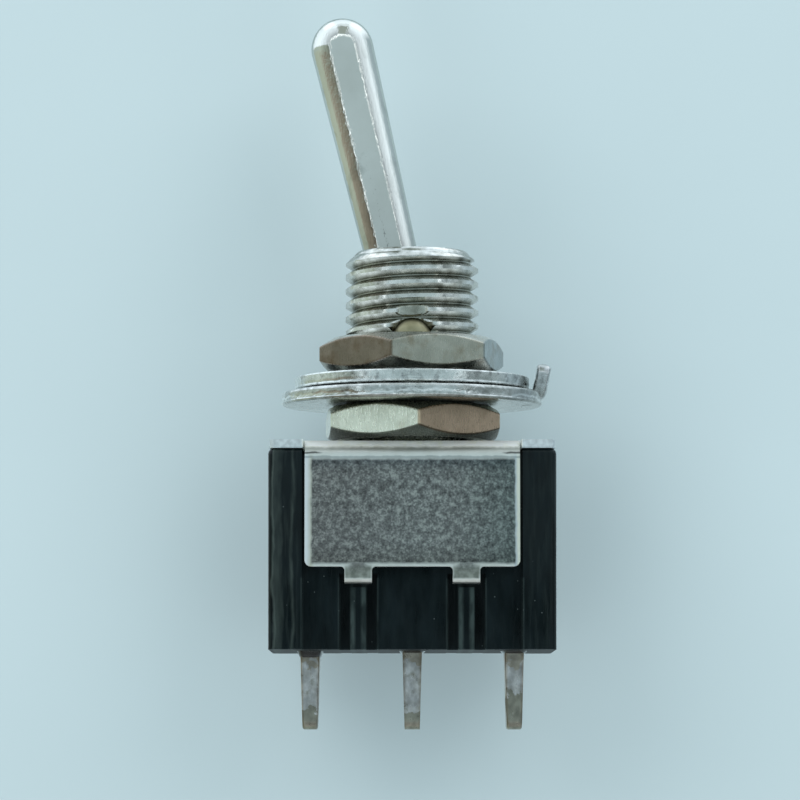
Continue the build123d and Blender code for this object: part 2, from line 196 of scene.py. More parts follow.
def rodAlongY(name, radius, centreZ, y0, y1):
    outline = np.array([(0, y0), (radius, y0), (radius, y1), (0, y1)], float)
    return newPiece(name, [(turnedPoints(spun(outline, 96), (1, 0, 0), -90) + (0, 0, centreZ), True, False)])


def solidCopy(node, name):
    # the solid's own triangles, merged, with each flat face made whole
    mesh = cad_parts[node].data.copy()
    piece = bpy.data.objects.new(name, mesh)
    scene.collection.objects.link(piece)
    if "custom_normal" in mesh.attributes:
        mesh.attributes.remove(mesh.attributes["custom_normal"])

    def change(work):
        bmesh.ops.remove_doubles(work, verts=work.verts, dist=5e-7)
        bmesh.ops.dissolve_limit(work, angle_limit=math.radians(1), verts=work.verts, edges=work.edges)

    reworked(mesh, change)
    return piece


# node helpers for the finishes: each returns an output, and finds its tree through the values it is given

def newNode(kind, *values, **settings):
    # a shader node with its settings, and its first inputs linked to sockets or set to numbers
    tree = next(value.id_data for value in values if isinstance(value, bpy.types.NodeSocket))
    node = tree.nodes.new("ShaderNode" + kind)
    for name, value in settings.items():
        setattr(node, name, value)
    for value, socket in zip(values, node.inputs):
        linkTo(socket, value)
    return node


def linkTo(socket, value):
    if isinstance(value, bpy.types.NodeSocket):
        socket.id_data.links.new(value, socket)
    elif np.isscalar(value):
        socket.default_value = value
    else:
        socket.default_value = (*value, 1)


def startMaterial(name, metallic, roughness=0.3):
    material = bpy.data.materials.new(name)
    material.use_nodes = True
    tree = material.node_tree
    surface = tree.nodes["Principled BSDF"].inputs
    surface["Metallic"].default_value = metallic
    surface["Roughness"].default_value = roughness
    return material, surface, tree.nodes.new("ShaderNodeTexCoord").outputs["Object"]


def scaledPlace(place, size, stretch, shift=(0, 0, 0)):
    # the place in steps of size millimetres, longer where stretch is over 1
    mapping = newNode("Mapping", place)
    mapping.inputs["Scale"].default_value = [1 / (size * mm * s) for s in stretch]
    mapping.inputs["Location"].default_value = shift
    return mapping.outputs["Vector"]


def noiseOf(place, size, detail=3.0, stretch=(1, 1, 1), shift=(0, 0, 0)):
    noise = newNode("TexNoise", scaledPlace(place, size, stretch, shift))
    noise.inputs["Scale"].default_value = 1
    noise.inputs["Detail"].default_value = detail
    return noise.outputs["Fac"]


def wanderOf(place, size, reach, stretch=(1, 1, 1)):
    # a slow drift of up to about half the reach, both ways
    return times(minus(noiseOf(place, size, 3, stretch), 0.5), reach)


def cellsOf(place, size, stretch=(1, 1, 1)):
    cells = newNode("TexVoronoi", scaledPlace(place, size, stretch))
    cells.inputs["Scale"].default_value = 1
    return cells.outputs["Distance"]


def rampOf(value, *stops):
    # stops are (position, colour or grey)
    ramp = newNode("ValToRGB", value)
    elements = ramp.color_ramp.elements
    while len(elements) < len(stops):
        elements.new(0.5)
    for element, (position, colour) in zip(elements, stops):
        element.position = position
        element.color = (colour, colour, colour, 1) if np.isscalar(colour) else (*colour, 1)
    return ramp.outputs["Color"]


def mixOf(factor, first, second, way="MIX"):
    tree = next(v.id_data for v in (factor, first, second) if isinstance(v, bpy.types.NodeSocket))
    mix = tree.nodes.new("ShaderNodeMix")
    mix.data_type = "RGBA"
    mix.blend_type = way
    for k, value in ((0, factor), (6, first), (7, second)):
        linkTo(mix.inputs[k], value)
    return mix.outputs[2]


def mottled(place, size, dark, light, detail=3, stretch=(1, 1, 1)):
    return rampOf(noiseOf(place, size, detail, stretch), (0.35, dark), (0.65, light))


def tinted(colour, tint):
    return mixOf(1.0, colour, tint, "MULTIPLY")


def mathOf(operation, *values):
    return newNode("Math", *values, operation=operation).outputs[0]


def times(a, b):
    return mathOf("MULTIPLY", a, b)


def plus(a, b):
    return mathOf("ADD", a, b)


def minus(a, b):
    return mathOf("SUBTRACT", a, b)


def apart(a, b):
    return mathOf("ABSOLUTE", minus(a, b))


def reachOf(a, b):
    # root of a squared plus b squared
    return mathOf("SQRT", plus(times(a, a), times(b, b)))


def bandOf(value, low, high):
    # 0 below low, 1 above high, straight between
    return newNode("MapRange", value, low, high).outputs["Result"]


def windowOf(value, risesFrom, risesTo, fallsFrom, fallsTo):
    return times(bandOf(value, risesFrom, risesTo), bandOf(value, fallsTo, fallsFrom))


def bumpOf(surface, height, depth):
    # depth in millimetres; a second call adds to the first
    bump = height.id_data.nodes.new("ShaderNodeBump")
    linkTo(bump.inputs["Height"], height)
    bump.inputs["Distance"].default_value = depth * mm
    bump.inputs["Strength"].default_value = 1.0
    socket = surface["Normal"]
    if socket.is_linked:
        linkTo(bump.inputs["Normal"], socket.links[0].from_socket)
    linkTo(socket, bump.outputs["Normal"])


def partOf(place, axis):
    # one coordinate of the place, in millimetres
    return times(newNode("SeparateXYZ", place).outputs[axis], 1 / mm)


def radiusOf(place):
    # distance from the bushing's axis
    return reachOf(partOf(place, "X"), partOf(place, "Y"))


# plated and bare metals

def platedMetal(name, look):
    # a metal whose colour wanders between two tones, with tarnish patches, streaks and fine pits
    material, surface, place = startMaterial(name, 1.0)
    toneSize, dark, light = look["tones"]
    patchSize, low, high, tarnish = look["tarnish"]
    patches = rampOf(noiseOf(place, patchSize, 5), (low, 0), (high, 1))
    colour = mixOf(patches, mottled(place, toneSize, dark, light, 4), tarnish)
    linkTo(surface["Base Color"], colour)
    streakSize, stretch, depth = look["streaks"]
    streaks = noiseOf(place, streakSize, 3, stretch)
    smooth, rough = look["roughness"]
    linkTo(surface["Roughness"], rampOf(streaks, (0.3, smooth), (0.7, rough)))
    bumpOf(surface, streaks, depth)
    pitSize, depth = look["pits"]
    bumpOf(surface, noiseOf(place, pitSize, 2), depth)
    return material, surface, place, colour


# studio: pale backdrop close behind the part, a paper tent in front, a dark card behind the camera

studioLook = {
    "cameraPlace": (-0.56, -189.28, -19.38), "cameraPitch": 95.0, "lens": 183.8,
    "worldColour": (0.550, 0.715, 0.768),
    "backdropY": 6.3, "backdropColour": (0.385, 0.461, 0.477), "backdropGlow": (0.103, 0.135, 0.147),
    "fadeFrom": 45.0, "fadeTo": 85.0,
    "tentRadius": 500.0, "tentReach": 135.0,
    "tentCentre": (0.470, 0.600, 0.648), "tentLine": (1.55, 1.70, 1.78), "tentWhite": (1.14, 1.33, 1.47),
    "tentLeft": (0.50, 0.60, 0.53), "tentRight": (0.43, 0.53, 0.56), "tentBrown": (0.365, 0.345, 0.28),
    "tentNotch": (0.36, 0.43, 0.41), "tentBelow": (0.76, 0.83, 0.86),
    "endLeft": (0.49, 0.575, 0.485), "endRight": (0.43, 0.56, 0.63),
    "cardColour": (0.018, 0.024, 0.025), "cardY": -200.0,
    "cardHalfWidth": 36.0, "cardTop": 10.0, "cardBottom": -11.0,
    "lampY": -283.0, "lampSize": 300.0,
    "lamps": ((-256.0, 256.0, 0.92), (256.0, 256.0, 0.76), (-256.0, -256.0, 0.46), (256.0, -256.0, 0.36)),
}


def stageObject(name, grid, closed, material, *unseenBy):
    piece = newPiece(name, [(grid, False, closed)])
    piece.data.materials.append(material)
    for ray in unseenBy:
        setattr(piece, "visible_" + ray, False)
    return piece


def uprightGrid(x0, x1, z0, z1, y):
    # a flat upright sheet: x from side to side, z up, y the same everywhere
    x, z = np.meshgrid((x0, x1), (z0, z1), indexing="ij")
    return np.stack([x, np.full(x.shape, y), z], axis=-1)


def bareMaterial(name):
    # a material with nothing but its output, whose socket is returned with the tree
    material = bpy.data.materials.new(name)
    material.use_nodes = True
    tree = material.node_tree
    tree.nodes.clear()
    return material, tree, tree.nodes.new("ShaderNodeOutputMaterial").inputs["Surface"]


def glowOf(tree, colour):
    glow = tree.nodes.new("ShaderNodeEmission")
    glow.inputs["Color"].default_value = (*colour, 1)
    return glow.outputs[0]


def makeBackdrop(look):
    # seen only from the front and only by the camera: it shows the part's soft shadow and blocks no view
    material, tree, output = bareMaterial("palePaper")
    place = tree.nodes.new("ShaderNodeTexCoord").outputs["Object"]
    grain = rampOf(noiseOf(place, 9.0, 2), (0.3, 0.985), (0.7, 1.0))
    paper = newNode("BsdfDiffuse", tinted(look["backdropColour"], grain))
    glow = glowOf(tree, look["backdropGlow"])          # lightens the shadow like light from the room behind
    both = newNode("AddShader", paper.outputs[0], glow)
    clear = tree.nodes.new("ShaderNodeBsdfTransparent")
    fade = bandOf(reachOf(partOf(place, "X"), partOf(place, "Z")), look["fadeFrom"], look["fadeTo"])
    behind = tree.nodes.new("ShaderNodeNewGeometry").outputs["Backfacing"]
    mix = newNode("MixShader", mathOf("MAXIMUM", fade, behind), both.outputs[0], clear.outputs[0])
    linkTo(output, mix.outputs[0])
    half = look["fadeTo"]
    sheet = uprightGrid(-half, half, -half, half, look["backdropY"])
    backdrop = stageObject("backdrop", sheet, False, material, "diffuse", "glossy", "transmission", "shadow")
    if backdrop.data.polygons[0].normal.y > 0:         # the sheet faces the camera
        backdrop.data.flip_normals()


def makeTent(look):
    # most of a sphere of paper in front: x = R sin(a) sin(b), y = -R cos(a), z = R sin(a) cos(b)
    material, tree, output = bareMaterial("tentPaper")
    place = tree.nodes.new("ShaderNodeTexCoord").outputs["Object"]
    unit = newNode("VectorMath", place, operation="NORMALIZE")
    x, y, z = newNode("SeparateXYZ", unit.outputs[0]).outputs
    reach = math.radians(look["tentReach"])
    away = bandOf(mathOf("ARCCOSINE", times(y, -1.0)), 0.0, reach)
    clock = bandOf(mathOf("ARCTAN2", x, z), -math.pi, math.pi)
    # stops by the angle away from the front, and by the angle clockwise from the top, both in degrees
    outwards = lambda *stops: rampOf(away, *[(math.radians(angle) / reach, value) for angle, value in stops])
    around = lambda *stops: rampOf(clock, *[(0.5 + angle / 360, value) for angle, value in stops])
    white, brown, below = look["tentWhite"], look["tentBrown"], look["tentBelow"]
    left, right, bright = look["tentLeft"], look["tentRight"], look["tentLine"]
    outer = around((-165, below), (-136, brown), (-95, brown), (-91, left), (-80, left), (-77, white),
                   (75, white), (79, right), (125, right), (150, below))
    colour = tinted(outer, outwards((55, 0.4), (66, 0.62), (93, 1.0)))
    notch = times(around((-14, 0), (-11, 1), (11, 1), (14, 0)),
                  outwards((86, 1), (91, 0.35), (100, 0.35), (104, 0)))
    colour = mixOf(notch, colour, look["tentNotch"])
    side = around((-90, 0), (-80, 1))
    atRight = times(around((45, 0), (60, 1)), outwards((88, 0), (112, 1)))
    end = mixOf(side, outwards((92, 0), (102, 1)), atRight)
    colour = mixOf(end, colour, mixOf(side, look["endLeft"], look["endRight"]))
    beside = around((-42, 0), (-34, 1), (-19, 1), (-13, 0), (13, 0), (19, 1), (34, 1), (42, 0))
    glints = times(beside, outwards((96, 0), (102, 0.8), (124, 0.8), (131, 0)))
    colour = mixOf(glints, colour, bright)
    colour = mixOf(outwards((51.5, 0), (54, 1)), look["tentCentre"], colour)
    line = outwards((47.3, 0), (48.3, 1), (50.2, 1), (51.2, 0))
    wide = times(around((-50, 0), (-35, 1), (35, 1), (50, 0)),
                 outwards((42, 0), (44, 0.3), (50, 0.3), (52, 0)))
    colour = mixOf(mathOf("MAXIMUM", line, wide), colour, bright)
    linkTo(output, newNode("Emission", colour).outputs[0])
    a = np.linspace(0, reach, 41)[:, None]
    b = np.linspace(0, 2 * np.pi, 97)[None, :-1]
    x, y, z = np.sin(a) * np.sin(b), -np.cos(a) + 0 * b, np.sin(a) * np.cos(b)
    stageObject("paperTent", look["tentRadius"] * np.stack([x, y, z], axis=-1), True, material, "camera")


def makeLamps(look):
    # four wide soft lamps round the front, stronger above, for matt surfaces; mirrors see the tent alone
    for k, (x, z, power) in enumerate(look["lamps"]):
        name = "softLamp%d" % k
        lamp = bpy.data.objects.new(name, bpy.data.lights.new(name, "AREA"))
        scene.collection.objects.link(lamp)
        lamp.data.size = look["lampSize"] * mm
        lamp.data.energy = power
        place = mathutils.Vector((x, look["lampY"], z))
        lamp.location = place * mm
        lamp.rotation_euler = place.to_track_quat("Z", "Y").to_euler()
        lamp.visible_glossy = lamp.visible_camera = False


def makeCard(look):
    # the dark shape behind the camera that flat bright faces mirror
    material, tree, output = bareMaterial("darkCardPaper")
    linkTo(output, glowOf(tree, look["cardColour"]))
    half = look["cardHalfWidth"]
    sheet = uprightGrid(-half, half, look["cardBottom"], look["cardTop"], look["cardY"])
    stageObject("darkCard", sheet, False, material, "camera", "diffuse", "shadow")


def makeStudio(look):
    world = bpy.data.worlds.new("studio")
    scene.world = world
    world.use_nodes = True
    world.node_tree.nodes["Background"].inputs["Color"].default_value = (*look["worldColour"], 1)
    camera = bpy.data.objects.new("camera", bpy.data.cameras.new("camera"))
    scene.collection.objects.link(camera)
    camera.data.lens = look["lens"]
    camera.data.sensor_width = 36
    camera.location = [c * mm for c in look["cameraPlace"]]
    camera.rotation_euler = (math.radians(look["cameraPitch"]), 0, 0)
    camera.data.clip_start = 0.01
    scene.camera = camera
    scene.view_settings.view_transform = "Standard"
    makeBackdrop(look)
    makeTent(look)
    makeCard(look)
    makeLamps(look)


makeStudio(studioLook)
print("studio ready")


# lever: one turned piece, plated bright

leverLook = {
    "pivotZ": -0.15, "tilt": 13.25, "length": 15.65, "tipRadius": 1.46, "mouthRadius": 1.24, "mouth": 4.10,
    "hubRadius": 1.55, "stemRadius": 1.125, "stemLength": 7.60, "stemChamfer": 0.15,
    "boreRadius": 0.78, "boreTop": 2.20, "pinHoleRadius": 0.89, "turns": 160, "dentDepth": 0.002,
}


def leant(points):
    # from upright about the pivot to the lever's place at rest
    pivot = (0, 0, leverLook["pivotZ"])
    return turnedPoints(points + pivot, (0, 1, 0), -leverLook["tilt"], pivot)


def arcPoints(centreZ, radius, start, end, steps):
    # circle round the axis, angles in degrees from the radius direction
    angle = np.radians(np.linspace(start, end, steps))
    return np.stack([radius * np.cos(angle), centreZ + radius * np.sin(angle)], axis=-1)


def leverOutline(look):
    # from the tip down the outside, over the hub and up the blind bore
    tip, hub, stem = look["tipRadius"], look["hubRadius"], look["stemRadius"]
    bore, depth = look["boreRadius"], look["boreTop"]
    tipCentre, end, chamfer = look["length"] - tip, -look["stemLength"], look["stemChamfer"]
    neckAngle = math.degrees(math.acos(look["mouthRadius"] / hub))
    stemAngle = -math.degrees(math.acos(stem / hub))
    top = np.array([[tip, tipCentre]])
    mouth = np.array([[look["mouthRadius"], look["mouth"]]])
    taper = top + (mouth - top) * np.linspace(0, 1, 40)[1:-1, None]
    tipArc, hubArc = arcPoints(tipCentre, tip, 90, 0, 28), arcPoints(0, hub, neckAngle, stemAngle, 24)
    lower = [(stem, end + chamfer), (stem - chamfer, end), (bore, end), (bore, -depth), (0, -depth)]
    return np.concatenate([tipArc, taper, mouth, hubArc, lower])


def leverMaterial():
    look = {
        "tones": (2.5, (0.70, 0.695, 0.645), (0.78, 0.775, 0.73)),
        "tarnish": (1.4, 0.60, 0.78, (0.52, 0.53, 0.49)),
        "streaks": (0.25, (1, 1, 5), 0.0008), "roughness": (0.03, 0.13), "pits": (0.09, 0.002),
    }
    material, surface, place, colour = platedMetal("brightNickel", look)
    bumpOf(surface, noiseOf(place, 0.12, 2, (1, 1, 3)), 0.0075)
    lean = math.radians(leverLook["tilt"])
    across = plus(times(partOf(place, "X"), math.cos(lean)),
                  times(minus(partOf(place, "Z"), leverLook["pivotZ"]), math.sin(lean)))
    flank = windowOf(mathOf("ABSOLUTE", across), 0.38, 0.52, 0.65, 0.8)
    dimples = rampOf(cellsOf(place, 0.15, (1, 1, 2)), (0.05, 0), (0.3, 1))
    bumpOf(surface, times(dimples, flank), 0.006)
    surface["Specular Tint"].default_value = (0.70, 0.73, 0.73, 1)
    dulled = rampOf(noiseOf(place, 0.3, 3, (1, 1, 2.5), (7, 3, 1)), (0.42, 0.03), (0.56, 0.2))
    linkTo(surface["Roughness"], mixOf(flank, (0.05, 0.05, 0.05), dulled))
    # painted shade: the lever darkens towards the bushing's mouth
    paintedLightAndStreaks = rampOf(bandOf(partOf(place, "Z"), 3.5, 9.0), (0.0, 0.82), (1.0, 1.0))
    linkTo(surface["Base Color"], tinted(colour, paintedLightAndStreaks))
    return material


def makeLever(look):
    uneven = lambda turn, up: look["dentDepth"] * (unevenness(turn * 2, up, (1, 2.3), 4) - 1.5)
    grid = spun(leverOutline(look), look["turns"], uneven)
    grid[:, [0, -1], :2] = 0          # both ends of the outline close on the axis
    piece = newPiece("batLever", [(leant(grid), True, False)])
    reach = look["hubRadius"] + 1
    cutWith(piece, rodAlongY("pinPath", look["pinHoleRadius"], look["pivotZ"], -reach, reach))
    finishPiece(piece, "lever", "lever", leverMaterial())


makeLever(leverLook)


# bushing: real helical thread, chamfered rim, keyway at the back, pin hole through the front

bushingLook = {
    "pitch": 0.656, "crestHeight": 2.555,                # height of one crest on the +X side
    "crestRadius": 3.10, "rootRadius": 2.735, "corner": 0.018,
    "crestHalf": 0.13, "rootHalf": 0.04,                 # half of the crest's and the root's flat, in pitches
    "top": 4.06, "bottom": -4.95, "rimRadius": 2.54, "rimDepth": 0.56, "rimBulge": 0.07,
    "lipGroove": 0.05, "grooveAt": 0.36, "grooveSpread": 0.09,      # its depth, and shares of the rim's depth
    "mouthRadius": 2.335, "waistRadius": 1.68, "waistHalf": 0.35, "neckRadius": 2.95, "sheetBottom": -5.35,
    "lipRadius": 3.15, "lipBottom": -5.70, "lipChamfer": 0.12, "skirtRadius": 2.55, "runOutRadius": 2.70,
    "pinZ": -0.15, "pinHoleRadius": 0.87,
    "spotFace": 2.88, "spotZ": 1.13, "spotHalfX": 0.68, "spotHalfZ": 0.26,
    "keyFloor": 2.65, "keyHalf": 0.50, "turns": 240, "dentDepth": 0.016, "nickDepth": 0.05,
}


def threadShares(look):
    # where a pitch's profile is sampled, measured from the crest's middle: close together at its corners
    crest, root, corner = look["crestHalf"], look["rootHalf"], look["corner"]
    flank = np.linspace(crest + corner, 0.5 - root - corner, 5)
    half = np.concatenate([[0.06, crest - corner, crest], flank, [0.5 - root]])
    return np.concatenate([[0], half, [0.5], 1 - half[::-1]])


def threadGrid(look):
    # height = start + pitch x (steps + turn); radius falls straight from the crest's flat to the root's,
    # held under the rounded rim, the run-out cone, the hole's countersink and the flat spot above the pin
    pitch, low, high = look["pitch"], look["bottom"], look["top"]
    crest, root, hole = look["crestRadius"], look["rootRadius"], look["pinHoleRadius"]
    start = look["crestHeight"] - pitch * math.ceil((look["crestHeight"] - low) / pitch + 1)
    whole = np.arange(math.ceil((high - start) / pitch) + 1)
    step = (whole[:, None] + threadShares(look)[None, :]).reshape(-1, 1)
    turn = np.linspace(0, 1, look["turns"] + 1)[None, :]
    angle = 2 * np.pi * turn
    height = np.clip(start + pitch * (step + turn), low, high)
    away = 0.5 - np.abs(step % 1 - 0.5)
    fall = np.clip((away - look["crestHalf"]) / (0.5 - look["crestHalf"] - look["rootHalf"]), 0, 1)
    radius = crest - (crest - root) * fall
    dents = 0.5 + 0.5 * unevenness(angle * 3, height * 2, (1, 2.1, 4.3), 11)
    nicks = np.clip(unevenness(angle * 11, height * 5, (1, 1.9, 3.1), 12) - 0.45, 0, 1)
    radius = radius - (look["dentDepth"] * dents + look["nickDepth"] * nicks) * (1 - fall)
    rim = np.clip((high - height) / look["rimDepth"], 0, 1)
    rounded = look["rimRadius"] + (look["rimDepth"] + look["rimBulge"] * (1 - rim)) * rim
    groove = np.exp(-((rim - look["grooveAt"]) / look["grooveSpread"]) ** 2)         # under the thin lip
    rounded = rounded - look["lipGroove"] * groove
    radius = np.where(rim < 1, np.minimum(radius, rounded), radius)
    radius = np.minimum(radius, look["runOutRadius"] + (height - low))
    x = radius * np.cos(angle)
    fromPin = np.hypot(x, height - look["pinZ"])
    sink = np.maximum(root - 0.03 + 1.25 * (fromPin - hole), 2.5)
    radius = np.where(fromPin < 2 * hole, np.minimum(radius, sink), radius)
    flat = look["spotFace"] / np.maximum(-np.sin(angle), 0.2)
    spot = (np.abs(x) < look["spotHalfX"]) & (np.abs(height - look["spotZ"]) < look["spotHalfZ"])
    radius = np.where(spot & (np.sin(angle) < -0.8), np.minimum(radius, flat), radius)
    return roundAxis(radius, angle, height)


def bushingInside(look):
    # the turned rest: from the thread's run-out over the staked lip, up the skirt, waist and mouth to the rim
    bottom, sheet, lipEnd, top = look["bottom"], look["sheetBottom"], look["lipBottom"], look["top"]
    neck, lip, waist, mouth = look["neckRadius"], look["lipRadius"], look["waistRadius"], look["mouthRadius"]
    chamfer, pin, half = look["lipChamfer"], look["pinZ"], look["waistHalf"]
    return np.array([
        (look["runOutRadius"], bottom), (neck, bottom), (neck, sheet), (lip, sheet), (lip, lipEnd + chamfer),
        (lip - chamfer, lipEnd), (look["skirtRadius"], lipEnd), (waist, pin - half), (waist, pin + half),
        (mouth, top - 0.04), (mouth + 0.05, top), (look["rimRadius"], top),
    ])


def bushingMaterial(look):
    finish = {
        "tones": (0.7, (0.70, 0.70, 0.655), (0.89, 0.885, 0.85)),
        "tarnish": (0.6, 0.52, 0.76, (0.40, 0.395, 0.35)),
        "streaks": (0.10, (4, 4, 1), 0.0012), "roughness": (0.16, 0.30), "pits": (0.24, 0.005),
    }
    material, surface, place, colour = platedMetal("threadNickel", finish)
    surface["Specular Tint"].default_value = (0.68, 0.68, 0.67, 1)       # dull where the thread turns away
    depth = bandOf(radiusOf(place), look["rootRadius"], look["crestRadius"] - 0.06)
    dirty = tinted(colour, rampOf(depth, (0.0, (0.4, 0.4, 0.355)), (0.8, 1.0)))
    wide, high = look["spotHalfX"], look["spotHalfZ"]
    spot = times(bandOf(mathOf("ABSOLUTE", partOf(place, "X")), wide, wide - 0.03),
                 bandOf(apart(partOf(place, "Z"), look["spotZ"]), high, high - 0.03))
    dirty = mixOf(spot, dirty, tinted(dirty, (0.74, 0.74, 0.68)))
    edge = look["top"] - look["rimDepth"]
    rim = bandOf(partOf(place, "Z"), edge - 0.02, edge + 0.02)
    bright = rampOf(noiseOf(place, 0.35, 4), (0.35, (0.46, 0.47, 0.44)), (0.62, (0.74, 0.74, 0.71)))
    linkTo(surface["Base Color"], mixOf(rim, dirty, bright))
    scuffs = rampOf(noiseOf(place, 0.25, 3), (0.38, 0.12), (0.62, 0.3))
    linkTo(surface["Roughness"], mixOf(rim, scuffs, (0.16, 0.16, 0.16)))
    return material


def makeBushing(look):
    piece = newPiece("threadedBushing", [
        (threadGrid(look), False, False),
        (spun(bushingInside(look), look["turns"]), True, False),
    ], 50)
    reach = look["crestRadius"] + 1
    cutWith(piece, rodAlongY("pinHole", look["pinHoleRadius"], look["pinZ"], -reach, reach), 50)
    half, floor = look["keyHalf"], look["keyFloor"]
    low, high = look["bottom"] - 1e-3, look["top"] + 1
    corners = [(-half, floor), (half, floor), (half, reach), (-half, reach)]
    side = np.array([[(x, y, low), (x, y, high)] for x, y in corners], float)
    caps = [(side[[[0, 1], [3, 2]], k], False, False) for k in (0, 1)]
    cutWith(piece, newPiece("keyPath", [(side, True, False)] + caps), 50)
    finishPiece(piece, "base", "bushing", bushingMaterial(look))


makeBushing(bushingLook)


# pivot pin: brass, its domed end shows in the thread

pinLook = {"radius": 0.86, "frontY": -2.88, "backY": 2.58, "dome": 0.22, "domePower": 2.6, "z": -0.15}


def pinMaterial():
    finish = {
        "tones": (0.5, (0.37, 0.325, 0.20), (0.49, 0.435, 0.28)),
        "tarnish": (0.35, 0.55, 0.75, (0.30, 0.27, 0.17)),
        "streaks": (0.12, (1, 1, 1), 0.002), "roughness": (0.30, 0.46), "pits": (0.10, 0.004),
    }
    material, surface, place, colour = platedMetal("pinBrass", finish)
    reach = reachOf(partOf(place, "X"), minus(partOf(place, "Z"), pinLook["z"]))
    rim = rampOf(bandOf(reach, 0.7, 0.84), (0.0, 1.0), (1.0, 0.22))
    linkTo(surface["Base Color"], tinted(colour, rim))
    return material


def makePin(look):
    # dome: depth below the end = dome x (radius / pin radius) to its power
    share = np.linspace(0, 1, 14)
    depth = look["dome"] * share ** look["domePower"]
    front = np.stack([share * look["radius"], look["frontY"] + depth], axis=-1)
    back = np.stack([share * look["radius"], look["backY"] - depth], axis=-1)
    grid = spun(np.concatenate([front, back[::-1]]), 96)
    piece = newPiece("pivotPin", [(turnedPoints(grid, (1, 0, 0), -90) + (0, 0, look["z"]), True, False)])
    finishPiece(piece, "base", "pivot_pin", pinMaterial())


makePin(pinLook)


# hex nuts: six flats, both ends turned to a 30 degree cone

nutLook = {
    "flat": 3.90, "thickness": 1.60, "faceRadius": 3.68, "chamferDeg": 30.0, "boreRadius": 2.95, "sink": 0.28,
    "cornerSoftness": 0.018, "turns": 600, "rows": 44,
}
nutLooks = {
    "upper": {
        "finish": "wornNutNickel", "cornerDeg": -102.5, "bottomZ": -1.60,
        "tones": (0.9, (0.40, 0.405, 0.365), (0.52, 0.525, 0.485)),
        "tarnish": (0.8, 0.50, 0.70, (0.33, 0.30, 0.24)),
        "flats": ((-132.5, (0.53, 0.435, 0.375)), (-72.5, (0.90, 0.87, 0.80)), (-12.5, (0.56, 0.64, 0.71))),
        "chamferShadeTint": (0.95, 0.93, 0.93),
    },
    "lower": {
        "finish": "paleNutNickel", "cornerDeg": -86.1, "bottomZ": -4.77,
        "tones": (0.9, (0.62, 0.62, 0.545), (0.74, 0.735, 0.655)),
        "tarnish": (0.8, 0.58, 0.78, (0.48, 0.46, 0.38)),
        "flats": ((-116.1, (1.30, 1.36, 1.30)), (-56.1, (0.78, 0.57, 0.46))),
        "chamferShadeTint": (0.19, 0.20, 0.19),
    },
}


def nutSide(look, cornerDeg):
    # radius = smooth minimum of the hexagon, flat / cos(angle from the flat's middle), and the two end cones
    angle = 2 * np.pi * np.arange(look["turns"])[:, None] / look["turns"]
    fromFlat = (angle - math.radians(cornerDeg)) % (np.pi / 3) - np.pi / 6
    hexagon = look["flat"] / np.cos(fromFlat)
    nextFlat = look["flat"] / np.cos(np.pi / 3 - np.abs(fromFlat))
    row = np.linspace(0, 1, look["rows"])[None, :]          # rows stand closer towards both faces
    height = look["thickness"] * (0.55 * (0.5 - 0.5 * np.cos(np.pi * row)) + 0.45 * row)
    slope = 1 / math.tan(math.radians(look["chamferDeg"]))
    top = look["faceRadius"] + (look["thickness"] - height) * slope
    bottom = look["faceRadius"] + height * slope
    radius = lowestOf(np.broadcast_arrays(hexagon, nextFlat, top, bottom), look["cornerSoftness"])
    return roundAxis(radius, angle, height)


def nutBore(look, rimPoints, fromTop):
    # face from the rim in to the countersink, then half of the bore
    thick, sink = look["thickness"], look["sink"]
    end, step = (thick, -sink) if fromTop else (0.0, sink)
    angle = 2 * np.pi * np.arange(len(rimPoints)) / len(rimPoints)
    bore = look["boreRadius"]
    rings = [(bore + sink + 0.03, end), (bore, end + step), (bore, thick / 2)]
    rings = [roundAxis(radius, angle, height) for radius, height in rings]
    return np.stack([rimPoints] + rings, axis=1)


def nutMaterial(look):
    # painted reflections with some brown tarnish: some flats have their own tint, lighter or darker, told
    # apart by the direction from the axis
    finish = {**look, "streaks": (0.07, (1, 1, 5), 0.0018), "roughness": (0.22, 0.38), "pits": (0.13, 0.004)}
    material, surface, place, colour = platedMetal(look["finish"], finish)
    x, y = partOf(place, "X"), partOf(place, "Y")
    for direction, tint in look["flats"]:
        turn = math.radians(direction)
        along = plus(times(x, math.cos(turn)), times(y, math.sin(turn)))
        on = bandOf(along, nutLook["flat"] - 0.1, nutLook["flat"] - 0.03)
        colour = mixOf(on, colour, tinted(colour, tint))
    # painted shade on the lower chamfer: there the radius is the face's plus the height over tan(chamfer)
    height = minus(partOf(place, "Z"), look["bottomZ"])
    slope = 1 / math.tan(math.radians(nutLook["chamferDeg"]))
    cone = plus(times(height, slope), nutLook["faceRadius"])
    paintedChamferShade = times(bandOf(apart(radiusOf(place), cone), 0.1, 0.03), bandOf(height, 0.62, 0.55))
    linkTo(surface["Base Color"], mixOf(paintedChamferShade, colour, tinted(colour, look["chamferShadeTint"])))
    return material


def makeNut(shape, side, look):
    skin = nutSide(shape, look["cornerDeg"])
    grids = [skin, nutBore(shape, skin[:, -1], True), nutBore(shape, skin[:, 0], False)]
    piece = newPiece(side + "Nut", [(grid + (0, 0, look["bottomZ"]), True, False) for grid in grids], 34)
    finishPiece(piece, side + "_nut", side + "_nut", nutMaterial(look))


for side, look in nutLooks.items():
    makeNut(nutLook, side, look)


# toothed washer: plain rim with a sheared edge, eight twisted teeth

washerLook = {
    "outer": 5.45, "inner": 4.30, "thickness": 0.58, "centreZ": -2.095, "tip": 0.45, "edge": 0.09,
    "teeth": 8, "toothTip": 3.28, "rootWidth": 1.90, "tipWidth": 1.30, "twist": 13.0,
    "toothThickness": 0.34, "innerEdge": 0.04,
    "tearHeight": -0.07, "tearWave": 0.05, "tearCount": 6, "tearSoft": 0.05, "tearDepth": 0.022,
}


